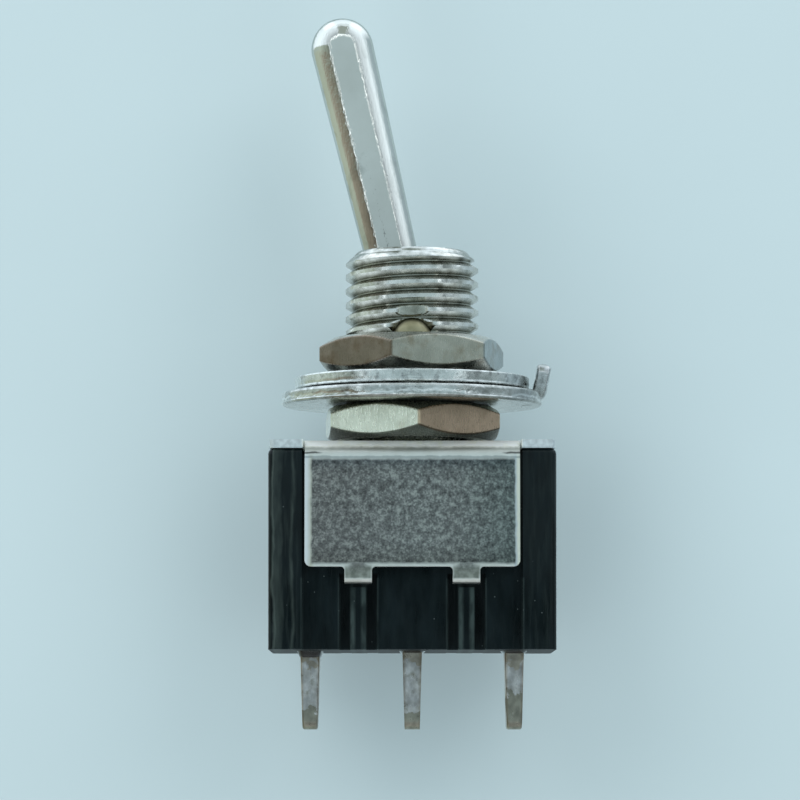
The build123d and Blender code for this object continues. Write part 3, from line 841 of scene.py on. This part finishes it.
def shearedSide(turn, up, look, seed):
    # below a wavy line the metal tore and lies deeper: depth x smooth step of the height under the line
    wave = unevenness(turn * look["tearCount"], 0 * turn, (1, 2.3, 5.1, 9.7), seed)
    line = look["tearHeight"] + look["tearWave"] * wave
    below = np.clip((line - up) / look["tearSoft"], 0, 1)
    fromEdge = np.clip((up + look["thickness"] / 2 - look["edge"] * 0.6) / 0.06, 0, 1)
    torn = below * below * (3 - 2 * below) * fromEdge
    grain = unevenness(turn * 31, up * 9, (1, 1.9, 3.7), seed + 1)
    return -look["tearDepth"] * torn * (1 + 0.35 * grain) - 0.004 * (1 + grain)


def placedFlat(grid, look):
    # a flat ring's tip about X and its height on the bushing
    return turnedPoints(grid, (1, 0, 0), look["tip"]) + (0, 0, look["centreZ"])


def shearedRing(look, seed):
    # the outer side has points along it, so that the sheared surface can be laid on
    half, edge, innerEdge = look["thickness"] / 2, look["edge"], look["innerEdge"]
    side = [(look["outer"], height, 0) for height in np.linspace(edge - half + 0.01, half - edge - 0.01, 9)]
    rest = [(look["outer"], half, edge), (look["inner"], half, innerEdge), (look["inner"], -half, innerEdge)]
    outline = roundedOutline([(look["outer"], -half, edge)] + side + rest)
    onSide = outline[None, :, 0] > look["outer"] - 1e-6
    tear = lambda turn, up: np.where(onSide, shearedSide(turn, up, look, seed), 0)
    return placedFlat(spun(outline, 720, tear), look), True, True


def slabGrid(along, wide, thick, shrink):
    # a slab with rounded corners carried outwards along +X, smaller at its tip
    section = boxSection(0.2, 3)
    y = section[None, :, 0] * (wide * shrink)[:, None]
    z = section[None, :, 1] * (thick * shrink)[:, None]
    return np.stack(np.broadcast_arrays(along[:, None], y, z), axis=-1)


def toothGrids(look):
    # one tooth outwards along +X, its section turned by the twist
    tip, root = look["toothTip"], look["inner"] + 0.1
    along = np.array([tip, tip + 0.04, tip + 0.12, tip + 0.42, tip + 0.82, root])
    width = np.interp(along, (tip, root), (look["tipWidth"], look["rootWidth"])) / 2
    tooth = slabGrid(along, width, look["toothThickness"] / 2, np.array([0.86, 0.96, 1, 1, 1, 1]))
    return [turnedPoints(grid, (1, 0, 0), look["twist"]) for grid in capped(tooth)]


def flankShade(place):
    # painted shade: darker towards the right side
    return rampOf(bandOf(partOf(place, "X"), -6, 6), (0.1, 0.9), (0.5, 0.98), (0.68, 0.9), (0.9, 0.66))


def washerMaterial():
    finish = {
        "tones": (0.45, (0.66, 0.685, 0.66), (0.88, 0.90, 0.87)),
        "tarnish": (0.35, 0.54, 0.70, (0.42, 0.43, 0.42)),
        "streaks": (0.08, (1, 1, 3), 0.0025), "roughness": (0.18, 0.32), "pits": (0.16, 0.005),
    }
    material, surface, place, colour = platedMetal("washerZinc", finish)
    # painted sparkle: scattered near-white spots
    paintedSparkle = rampOf(noiseOf(place, 0.22, 2, (1.6, 1.6, 1), (5, 2, 8)), (0.62, 0), (0.7, 0.8))
    colour = mixOf(paintedSparkle, colour, (0.97, 0.98, 0.97))
    linkTo(surface["Base Color"], tinted(colour, flankShade(place)))
    return material


def makeToothWasher(look):
    grids = [shearedRing(look, 21)]
    for k in range(look["teeth"]):
        turn = (k + 0.5) * 360 / look["teeth"] - 90
        grids += [(placedFlat(turnedPoints(g, (0, 0, 1), turn), look), False, True) for g in toothGrids(look)]
    finishPiece(newPiece("toothWasher", grids), "base", "tooth_washer", washerMaterial())


makeToothWasher(washerLook)


# locking ring: thick ring with a rolled rim, a bent-up tab and an inner key

ringLook = {
    "outer": 6.05, "inner": 3.30, "thickness": 0.62, "centreZ": -2.81, "tip": 0.50,
    "edge": 0.15, "innerEdge": 0.06,
    "tearHeight": 0.02, "tearWave": 0.10, "tearCount": 5, "tearSoft": 0.05, "tearDepth": 0.030,
    "tabWidth": 2.20, "tabThickness": 0.68, "tabTop": 1.92, "tabLean": 11.0, "tabRoot": 5.10,
    "tabBend": 0.20, "tabCorner": 0.60, "tabRound": 0.60, "tabOuterX": 6.17,
    "keyWidth": 0.80, "keyTip": 2.76,
}


def tabGrids(look):
    # a strip with a rounded section carried outwards, round the bend and up; its end narrows as a circle
    half = look["tabThickness"] / 2
    lean = math.radians(look["tabLean"])
    bend = look["tabBend"] + half
    turnBy = np.pi / 2 - lean
    reach = look["tabOuterX"] - half - bend * math.tan(turnBy / 2) + 0.02
    flat = np.stack([np.linspace(look["tabRoot"], reach, 4), np.zeros(4)], axis=-1)
    angle = np.linspace(0, turnBy, 12)[1:]
    arc = np.stack([reach + bend * np.sin(angle), bend - bend * np.cos(angle)], axis=-1)
    direction = np.array([math.sin(lean), math.cos(lean)])
    length = (look["tabTop"] - look["thickness"] / 2 - arc[-1, 1]) / direction[1]
    rounding = length - look["tabRound"] * np.cos(np.linspace(0, np.pi / 2, 12))[1:]
    rise = np.concatenate([np.linspace(0.1, length - look["tabRound"], 5), rounding])
    line = np.concatenate([flat, arc, arc[-1] + rise[:, None] * direction])
    heading = np.concatenate([np.zeros(4), angle, np.full(len(rise), turnBy)])
    # what is left before the very end, as a share of the rounded end's length
    left = np.clip((length - rise) / look["tabRound"], 0, 1)
    left = np.concatenate([np.ones(4 + len(angle)), left])
    narrow = np.sqrt(np.clip(1 - (1 - left) ** 2, 0, 1))
    wide = look["tabWidth"] / 2 - look["tabCorner"] * (1 - narrow)
    wide[-1] = look["tabWidth"] / 2 - look["tabCorner"]
    thin = half * np.clip(narrow * 1.6, 0.35, 1) ** 0.7
    section = boxSection(0.45, 5)
    across = section[None, :, 0] * wide[:, None]
    outwards = section[None, :, 1] * thin[:, None]
    x = line[:, None, 0] - outwards * np.sin(heading)[:, None]
    z = line[:, None, 1] + outwards * np.cos(heading)[:, None]
    return capped(np.stack([x, across, z], axis=-1))


def keyGrids(look):
    # rounded block from the bore inwards at +Y
    tip = look["keyTip"]
    along = np.array([tip, tip + 0.05, tip + 0.12, look["inner"] + 0.4])
    key = slabGrid(along, look["keyWidth"] / 2, 0.98 * look["thickness"] / 2, np.array([0.84, 0.95, 1, 1]))
    return capped(key[..., [1, 0, 2]])


def ringMaterial():
    finish = {
        "tones": (0.5, (0.48, 0.495, 0.47), (0.76, 0.775, 0.755)),
        "tarnish": (0.45, 0.54, 0.70, (0.38, 0.39, 0.37)),
        "streaks": (0.12, (2, 2, 1), 0.003), "roughness": (0.16, 0.30), "pits": (0.26, 0.007),
    }
    material, surface, place, colour = platedMetal("ringZinc", finish)
    # painted highlight: a bright wavy line just below the middle of the ring's side, joined by painted
    # sparkle
    wander = wanderOf(place, 1.3, 0.55)
    height = plus(partOf(place, "Z"), wander)
    level = ringLook["centreZ"]
    paintedHighlightLine = rampOf(bandOf(height, level - 0.31, level + 0.31), (0.2, 0), (0.28, 1), (0.36, 1), (0.44, 0))
    paintedSparkle = rampOf(noiseOf(place, 0.26, 2, (1.6, 1.6, 1), (5, 2, 8)), (0.62, 0), (0.7, 0.8))
    bright = mathOf("MAXIMUM", times(paintedHighlightLine, 0.8), paintedSparkle)
    colour = mixOf(bright, colour, (0.96, 0.97, 0.95))
    # painted shade on the ring's lower part
    under = bandOf(partOf(place, "Z"), level - 0.22, level - 0.3)
    colour = mixOf(under, colour, tinted(colour, (0.6, 0.595, 0.55)))
    # painted shade: darker towards the right, and evenly a little darker on the raised tab
    raised = bandOf(partOf(place, "Z"), level + 0.42, level + 0.6)
    shade = mixOf(raised, flankShade(place), (0.82, 0.82, 0.84))
    linkTo(surface["Base Color"], tinted(colour, shade))
    return material


def makeLockingRing(look):
    grids = [(placedFlat(g, look), False, True) for g in tabGrids(look) + keyGrids(look)]
    piece = newPiece("lockingRing", [shearedRing(look, 33)] + grids)
    finishPiece(piece, "base", "locking_ring", ringMaterial())


makeLockingRing(ringLook)


# cover: the bent sheet with its sheared edges rolled over on the outside

coverLook = {
    "topZ": -4.95, "faceY": 3.95, "bendInner": 0.50, "sheet": 0.40,
    "rollWidth": 0.26, "plainShare": 0.70, "backShare": 0.2, "flapHalf": 4.90,
    "fieldLeft": 4.59, "fieldRight": 4.68, "fieldTop": -5.84, "fieldBottom": -10.60, "tabX": 2.46,
    "foldDepth": 5.76, "creaseDepth": 5.56,
}


def rollEdges(piece, width, weights, segments=4):
    # each sharp edge gets its own share of the width, read by the bevel
    attribute = piece.data.attributes.new("bevel_weight_edge", "FLOAT", "EDGE")
    attribute.data.foreach_set("value", weights.astype(np.float32))
    bevel = piece.modifiers.new("rolledEdges", "BEVEL")
    bevel.width = width * mm
    bevel.segments = segments
    bevel.limit_method = "WEIGHT"
    bevel.harden_normals = True


def edgeFacts(mesh, angle):
    # end points of every edge in millimetres, and whether the faces beside it meet at more than the angle
    work = bmesh.new()
    work.from_mesh(mesh)
    sharp = [len(e.link_faces) == 2 and e.calc_face_angle(0) > math.radians(angle) for e in work.edges]
    ends = np.array([[v.co[:] for v in e.verts] for e in work.edges]) / mm
    work.free()
    return ends, np.array(sharp)


def coverMaterial(look):
    # tinplate: dark etched grains on the flaps' flat fields, plain bright metal round them and over the bend;
    # painted shade on the fields, the tabs and along fold lines, and painted light on the bend, the rolled
    # edges and the plate's ends
    material, surface, place = startMaterial("speckledTinplate", 1.0)
    wander = wanderOf(place, 0.5, 0.14)
    x, z = plus(partOf(place, "X"), wander), plus(partOf(place, "Z"), wander)
    across = mathOf("ABSOLUTE", x)
    left, right, top, bottom = (look["field" + side] for side in ("Left", "Right", "Top", "Bottom"))
    inside = windowOf(x, -left - 0.05, -left + 0.05, right - 0.03, right + 0.03)
    level = windowOf(z, top + 0.07, top - 0.09, bottom + 0.07, bottom - 0.07)
    fromTab = apart(across, look["tabX"])
    onTab = times(times(bandOf(fromTab, 0.5, 0.26), windowOf(z, -11.1, -10.75, -10.2, -10.0)), 0.75)
    field = mathOf("MAXIMUM", times(inside, level), onTab)
    grain = noiseOf(place, 0.085, 4)
    clumps = noiseOf(place, 0.26, 4, shift=(3, 1, 7))
    speckle = plus(times(grain, 0.5), times(clumps, 0.5))
    etchedWithPaintedShade = rampOf(
        speckle, (0.34, (0.11, 0.108, 0.105)), (0.49, (0.25, 0.255, 0.245)), (0.64, (0.54, 0.55, 0.51)))
    # painted shade: the field darkens towards the sides, most on the right
    etchedWithPaintedShade = tinted(etchedWithPaintedShade, rampOf(
        bandOf(x, -4.0, 4.5), (0.0, (0.9, 0.86, 0.86)), (0.5, 1.0), (0.7, 0.95), (1.0, (0.68, 0.76, 0.76))))
    # painted shade in a band under the bend at the field's top; the field is also darker towards the bottom
    etchedWithPaintedShade = tinted(etchedWithPaintedShade, rampOf(
        bandOf(z, top, bottom), (0.0, (0.5, 0.54, 0.58)), (0.13, 0.98), (0.8, 1.0), (1.0, (0.7, 0.7, 0.68))))
    toneAndPaintedLight = mottled(place, 0.5, (0.77, 0.77, 0.715), (0.88, 0.88, 0.83))
    # painted reflections on the rolled flap edges: white outside and cream inside on the left, bluish inside
    # and cream outside on the right
    leftRoll = rampOf(bandOf(x, -4.9, -4.6), (0.35, (1.0, 1.0, 1.0)), (0.95, (0.7, 0.68, 0.58)))
    rightRoll = rampOf(bandOf(x, 4.68, 4.88), (0.15, (0.66, 0.71, 0.73)), (0.6, (0.94, 0.93, 0.8)))
    onFlap = bandOf(z, top + 0.35, top - 0.1)
    toneAndPaintedLight = mixOf(times(onFlap, bandOf(x, -4.45, -4.6)), toneAndPaintedLight, leftRoll)
    toneAndPaintedLight = mixOf(times(onFlap, bandOf(x, 4.6, 4.7)), toneAndPaintedLight, rightRoll)
    # painted light over the bend: lighter on its upper part, darker across its middle
    fromTop = bandOf(z, look["topZ"], top)
    rolled = rampOf(fromTop, (0.0, 1.3), (0.3, 1.3), (0.46, 0.76), (0.64, 0.8), (0.8, 1.0), (0.92, 1.08))
    toneAndPaintedLight = mixOf(bandOf(z, top, top + 0.05), toneAndPaintedLight, tinted(toneAndPaintedLight, rolled))
    # painted shade on the bent tabs: a darker mottled zone
    tab = times(bandOf(fromTab, 0.66, 0.54), windowOf(z, -10.62, -10.82, -11.24, -11.32))
    toneAndPaintedLight = mixOf(tab, toneAndPaintedLight, mottled(place, 0.28, (0.24, 0.25, 0.215), (0.42, 0.43, 0.38)))
    # painted light on the plate's ends beyond the flaps: mottled and bluish
    ends = bandOf(across, look["flapHalf"] + 0.05, look["flapHalf"] + 0.15)
    toneAndPaintedLight = mixOf(ends, toneAndPaintedLight, mottled(place, 0.22, (0.5, 0.56, 0.58), (0.68, 0.75, 0.77), 4))
    # painted shade: a darker line low on the bend, and a near-black crease line on the bend near each side
    fold = bandOf(mathOf("ABSOLUTE", plus(z, look["foldDepth"])), 0.07, 0.03)
    crease = bandOf(mathOf("ABSOLUTE", plus(z, look["creaseDepth"])), 0.06, 0.02)
    crease = times(crease, bandOf(across, 4.05, 4.35))
    toneAndPaintedLight = mixOf(fold, toneAndPaintedLight, tinted(toneAndPaintedLight, (0.62, 0.64, 0.66)))
    toneAndPaintedLight = mixOf(crease, toneAndPaintedLight, (0.16, 0.16, 0.15))
    linkTo(surface["Base Color"], mixOf(field, toneAndPaintedLight, etchedWithPaintedShade))
    linkTo(surface["Metallic"], rampOf(fromTop, (0.34, 0.72), (0.5, 1.0)))
    matt = rampOf(speckle, (0.35, 0.42), (0.65, 0.28))
    flat = bandOf(z, top + 0.04, top - 0.04)
    plain = mixOf(flat, rampOf(fromTop, (0.28, 0.62), (0.44, 0.34)), (0.44, 0.44, 0.44))
    linkTo(surface["Roughness"], mixOf(field, plain, matt))
    bumpOf(surface, times(grain, field), 0.008)
    bumpOf(surface, times(clumps, field), 0.008)
    bumpOf(surface, noiseOf(place, 0.7, 2), 0.006)
    return material


def makeCover(look):
    piece = solidCopy("cover", "bentCover")
    ends, sharp = edgeFacts(piece.data, 35)
    bend = look["bendInner"] + look["sheet"]
    x, y, z = ends[..., 0], np.abs(ends[..., 1]), ends[..., 2]
    fromBend = np.hypot(y - look["faceY"] + bend, z - look["topZ"] + bend)
    outside = (y > look["faceY"] - 0.01) | (z > look["topZ"] - 0.01)
    outside |= (np.abs(fromBend - bend) < 0.02) & (z > look["topZ"] - bend)
    left = (np.abs(x + look["flapHalf"]) < 0.02).all(axis=1)
    share = np.where(outside.all(axis=1), np.where(left, 1.0, look["plainShare"]), look["backShare"])
    rollEdges(piece, look["rollWidth"], share * sharp)
    finishPiece(piece, "base", "cover", coverMaterial(look))


makeCover(coverLook)


# moulded case: black satin plastic with softened edges

caseLook = {
    "edge": 0.09, "top": -5.35, "shoulder": 0.25, "cornerRadius": 0.35, "underside": -14.44,
    "columnX": 5.10, "recessX": 5.02,
    "grooveX": 2.46, "grooveHalf": 0.865, "ribHalf": 0.26, "grooveTop": -11.3,
}


def caseMaterial(look):
    # black with a trace of green; thin upright streaks, as bumps and as painted sheen on the corner columns,
    # the left one most; painted highlight lines along the left column's rounded edges and along the groove,
    # rib and recess edges; and a few pale specks
    material, surface, place = startMaterial("blackMoulding", 0.0)
    surface["Specular IOR Level"].default_value = 0.16
    flow = noiseOf(place, 0.6, 4, (1, 1, 4))
    colour = rampOf(flow, (0.35, (0.001, 0.0028, 0.0036)), (0.7, (0.0026, 0.0062, 0.0078)))
    paintedLightAndStreaks = rampOf(noiseOf(place, 0.22, 4, (1, 1, 9)), (0.48, 0), (0.66, 1))
    x, z = partOf(place, "X"), partOf(place, "Z")
    columns = plus(bandOf(x, -look["columnX"], -look["columnX"] - 0.2),
                   times(bandOf(x, look["columnX"], look["columnX"] + 0.2), 0.5))
    # painted highlights: two lighter upright lines along the left column's rounded edges, darker between them
    wavy = plus(x, wanderOf(place, 0.9, 0.45, (1, 1, 2)))
    hazeAndPaintedHighlights = rampOf(bandOf(wavy, -6.6, -5.2), (0.13, 0), (0.2, 1.0), (0.25, 0.45), (0.45, 0.35), (0.52, 0.05),
                  (0.74, 0.05), (0.82, 0.55), (0.9, 0.05))
    patchy = rampOf(noiseOf(place, 0.35, 4, (1, 1, 3), (4, 0, 2)), (0.35, 0.45), (0.65, 1.0))
    # painted sheen: the upright streaks lighten the corner columns, the left one most
    colour = mixOf(times(paintedLightAndStreaks, times(columns, 0.3)), colour, (0.022, 0.032, 0.03))
    colour = mixOf(times(hazeAndPaintedHighlights, patchy), colour, (0.044, 0.06, 0.055))
    # painted highlights: paler lines along the groove, rib and recess edges on the lower case
    across = mathOf("ABSOLUTE", x)
    fromGroove = apart(across, look["grooveX"])
    edges = ((fromGroove, look["grooveHalf"], 0.09, 0.45), (fromGroove, look["ribHalf"], 0.17, 1.0),
             (across, look["recessX"], 0.09, 0.45))
    lines = [times(share, bandOf(apart(value, middle), half, half * 0.3))
             for value, middle, half, share in edges]
    toneAndPaintedLight = times(mathOf("MAXIMUM", lines[0], mathOf("MAXIMUM", lines[1], lines[2])),
                 bandOf(z, look["grooveTop"] + 0.1, look["grooveTop"]))
    toneAndPaintedLight = times(toneAndPaintedLight, rampOf(noiseOf(place, 0.4, 3, (1, 1, 3)), (0.35, 0.25), (0.6, 1.0)))
    colour = mixOf(toneAndPaintedLight, colour, (0.03, 0.044, 0.043))
    specks = rampOf(cellsOf(place, 0.55), (0.035, 1), (0.06, 0))
    linkTo(surface["Base Color"], mixOf(specks, colour, (0.06, 0.075, 0.075)))
    satin = rampOf(flow, (0.3, 0.12), (0.7, 0.22))
    under = bandOf(z, look["underside"], look["underside"] - 0.04)
    linkTo(surface["Roughness"], mixOf(under, satin, (0.55, 0.55, 0.55)))
    bumpOf(surface, noiseOf(place, 1.1, 3, (1, 1, 3)), 0.01)
    bumpOf(surface, paintedLightAndStreaks, 0.004)
    return material


def roundShoulder(mesh, look):
    # quarter round on the top's outer edge: inset = r - root of (r squared - (r - depth) squared)
    radius, corner = look["shoulder"], look["cornerRadius"]

    def cutRows(work):
        for degrees in (20, 40, 65, 90):
            level = look["top"] - radius * (1 - math.cos(math.radians(degrees)))
            bmesh.ops.bisect_plane(work, geom=work.verts[:] + work.edges[:] + work.faces[:], dist=1e-8,
                                   plane_co=(0, 0, level * mm), plane_no=(0, 0, 1))

    reworked(mesh, cutRows)
    points = np.empty(len(mesh.vertices) * 3)
    mesh.vertices.foreach_get("co", points)
    points = points.reshape(-1, 3) / mm
    depth = np.clip(look["top"] - points[:, 2], 0, radius)
    half = np.abs(points[depth < 0.001, :2]).max(axis=0) - corner
    core = np.clip(points[:, :2], -half, half)
    out = points[:, :2] - core
    onSkin = np.hypot(out[:, 0], out[:, 1]) > corner - 0.01
    inset = radius - np.sqrt(radius**2 - (radius - depth) ** 2)
    points[:, :2] = np.where(onSkin[:, None], core + out * (1 - inset / corner)[:, None], points[:, :2])
    mesh.vertices.foreach_set("co", (points * mm).ravel())
    mesh.update()


def makeFromSolid(name, node, material, look, sharpFrom, segments):
    # the solid itself with every sharp edge rolled
    piece = solidCopy(node, name)
    if "shoulder" in look:
        roundShoulder(piece.data, look)
    rollEdges(piece, look["edge"], edgeFacts(piece.data, sharpFrom)[1] * 1.0, segments)
    finishPiece(piece, "base", node, material)


makeFromSolid("mouldedCase", "case", caseMaterial(caseLook), caseLook, 30, 3)


# solder lugs: tinned brass strip, scraped and browned

lugLook = {"edge": 0.10, "spacing": 4.70, "scrapeTop": -15.05, "scrapeBottom": -17.15}


def lugMaterial(look):
    # browned root, a scraped pale stretch with darker edges and a dull tip, with ragged borders between them
    finish = {
        "tones": (0.35, (0.46, 0.44, 0.42), (0.60, 0.585, 0.58)),
        "tarnish": (0.45, 0.56, 0.70, (0.36, 0.34, 0.30)),
        "streaks": (0.12, (1, 1, 3), 0.003), "roughness": (0.26, 0.42), "pits": (0.20, 0.008),
    }
    material, surface, place, colour = platedMetal("tinnedLug", finish)
    z = plus(partOf(place, "Z"), wanderOf(place, 0.5, 2.2))
    root = bandOf(z, look["scrapeTop"] - 0.04, look["scrapeTop"] + 0.04)
    rightLug = times(bandOf(partOf(place, "X"), 2.0, 3.0), -0.75)
    tip = bandOf(plus(z, rightLug), look["scrapeBottom"] + 0.04, look["scrapeBottom"] - 0.04)
    browned = mixOf(tip, mixOf(root, colour, (0.42, 0.375, 0.31)), (0.29, 0.275, 0.225))
    colour = tinted(browned, mottled(place, 0.3, 0.78, 1.22, 3, (1, 1, 1.6)))
    across = mathOf("ABSOLUTE", partOf(place, "X"))
    fromMiddle = mathOf("MINIMUM", across, apart(across, look["spacing"]))
    edges = rampOf(bandOf(fromMiddle, 0.26, 0.42), (0.0, 1.0), (1.0, (0.66, 0.6, 0.52)))
    linkTo(surface["Base Color"], tinted(colour, edges))
    return material


lugFinish = lugMaterial(lugLook)
for place in ("left", "common", "right"):
    makeFromSolid("lug" + place.capitalize(), "terminal_" + place, lugFinish, lugLook, 35, 3)


# resin round each lug's root

resinLook = {"caseZ": -14.50, "halfX": 0.60, "halfY": 1.25, "lugHalfX": 0.46, "lugHalfY": 1.01}


def resinMaterial():
    material, surface, place = startMaterial("blackResin", 0.0, 0.22)
    lumps = noiseOf(place, 0.35, 3)
    linkTo(surface["Base Color"], rampOf(lumps, (0.3, (0.006, 0.007, 0.007)), (0.7, (0.02, 0.02, 0.018))))
    bumpOf(surface, lumps, 0.02)
    return material


def makeResin(name, node, x, height, material, look):
    # height over the case = height at the lug x (1 - share of the way out to the power 1.6)
    angle = np.linspace(0, 2 * np.pi, 97)[:-1, None]
    share = np.linspace(0, 1, 14)[None, :]
    power = 0.45          # keeps the outline close to a rounded rectangle
    c, s = np.cos(angle), np.sin(angle)
    wide = look["lugHalfX"] + (look["halfX"] - look["lugHalfX"]) * share
    deep = look["lugHalfY"] + (look["halfY"] - look["lugHalfY"]) * share
    grow = 1 + 0.04 * unevenness(angle * 3, share, (1, 2.2), 50 + int(x)) * share
    px = x + np.sign(c) * np.abs(c) ** power * wide * np.minimum(grow, 1)
    py = np.sign(s) * np.abs(s) ** power * deep * np.minimum(grow, 1)
    pz = look["caseZ"] - height * (1 - share**1.6) + 0 * angle
    skin = np.stack([px, py, pz], axis=-1)
    sunk = look["caseZ"] + 0.02         # its back lies just inside the case
    lid = np.stack([skin[:, -1], skin[:, -1] * (1, 1, 0) + (0, 0, sunk)], axis=1)
    base = np.stack(np.broadcast_arrays(lid[:, -1], (x, 0, sunk)), axis=1)
    inner = np.stack(np.broadcast_arrays(skin[:, 0], (x, 0, look["caseZ"] - height)), axis=1)
    piece = newPiece(name, [(grid, True, False) for grid in (skin, lid, base, inner)])
    finishPiece(piece, "base", node, material)


resinFinish = resinMaterial()
for place, side, height in (("left", -1, 0.30), ("common", 0, 0.10), ("right", 1, 0.12)):
    x = side * lugLook["spacing"]
    makeResin("resin" + place.capitalize(), "seal_" + place, x, height, resinFinish, resinLook)


# spring in the lever's stem: a wire section carried along a helix

springLook = {
    "wire": 0.11, "radius": 0.55, "coils": 6, "low": -5.07, "high": -2.33,
    "travel": 0.80, "shoulder": 5.20, "top": 2.20,
}


def makeSpring(look):
    # the wire's middle runs round at the coil radius and climbs evenly, its section a circle of 12 sides
    turns, around = look["coils"] * 36, 12
    t = np.linspace(0, 1, turns + 1)[:, None]
    angle = 2 * np.pi * look["coils"] * t
    section = 2 * np.pi * np.arange(around)[None, :] / around
    radius = look["radius"] + look["wire"] * np.cos(section)
    height = look["low"] + (look["high"] - look["low"]) * t + look["wire"] * np.sin(section)
    grids = capped(roundAxis(radius, angle, height))
    piece = newPiece("coilSpring", [(leant(grid), False, True) for grid in grids])
    finish = {
        "tones": (0.3, (0.42, 0.42, 0.40), (0.62, 0.61, 0.58)),
        "tarnish": (0.3, 0.6, 0.75, (0.35, 0.33, 0.28)),
        "streaks": (0.05, (1, 1, 1), 0.001), "roughness": (0.22, 0.35), "pits": (0.06, 0.001),
    }
    finishPiece(piece, "lever", "plunger_spring", platedMetal("springSteel", finish)[0])
    lean = math.radians(leverLook["tilt"])
    axis = (-math.sin(lean), 0, math.cos(lean))
    anchor = [a * -look["top"] * mm for a in axis]
    anchor[2] += leverLook["pivotZ"] * mm
    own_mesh(piece)


makeSpring(springLook)


# parts inside keep their own solids and get their finishes

def nylonMaterial():
    material, surface, place = startMaterial("whiteNylon", 0.0, 0.4)
    hazeAndPaintedHighlights = noiseOf(place, 0.8, 3)
    linkTo(surface["Base Color"], rampOf(hazeAndPaintedHighlights, (0.3, (0.7, 0.69, 0.64)), (0.7, (0.8, 0.79, 0.75))))
    bumpOf(surface, noiseOf(place, 0.12, 2), 0.001)
    return material


def innerMetal(name, dark, light, tarnish):
    finish = {
        "tones": (0.8, dark, light),
        "tarnish": (0.7, 0.58, 0.75, tarnish),
        "streaks": (0.10, (5, 1, 1), 0.001), "roughness": (0.25, 0.38), "pits": (0.10, 0.001),
    }
    return platedMetal(name, finish)[0]


innerFinishes = {
    "plunger": nylonMaterial(),
    "rocker": innerMetal("bladeBrass", (0.62, 0.50, 0.28), (0.74, 0.62, 0.38), (0.45, 0.34, 0.18)),
}
silver = innerMetal("contactSilver", (0.78, 0.77, 0.74), (0.86, 0.85, 0.83), (0.55, 0.52, 0.46))
for node in ("rocker_contact_left", "rocker_contact_right", "fixed_contact_left", "fixed_contact_right"):
    innerFinishes[node] = silver
for node, material in innerFinishes.items():
    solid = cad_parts[node]
    solid.data.materials.clear()
    solid.data.materials.append(material)
print("inner parts finished")
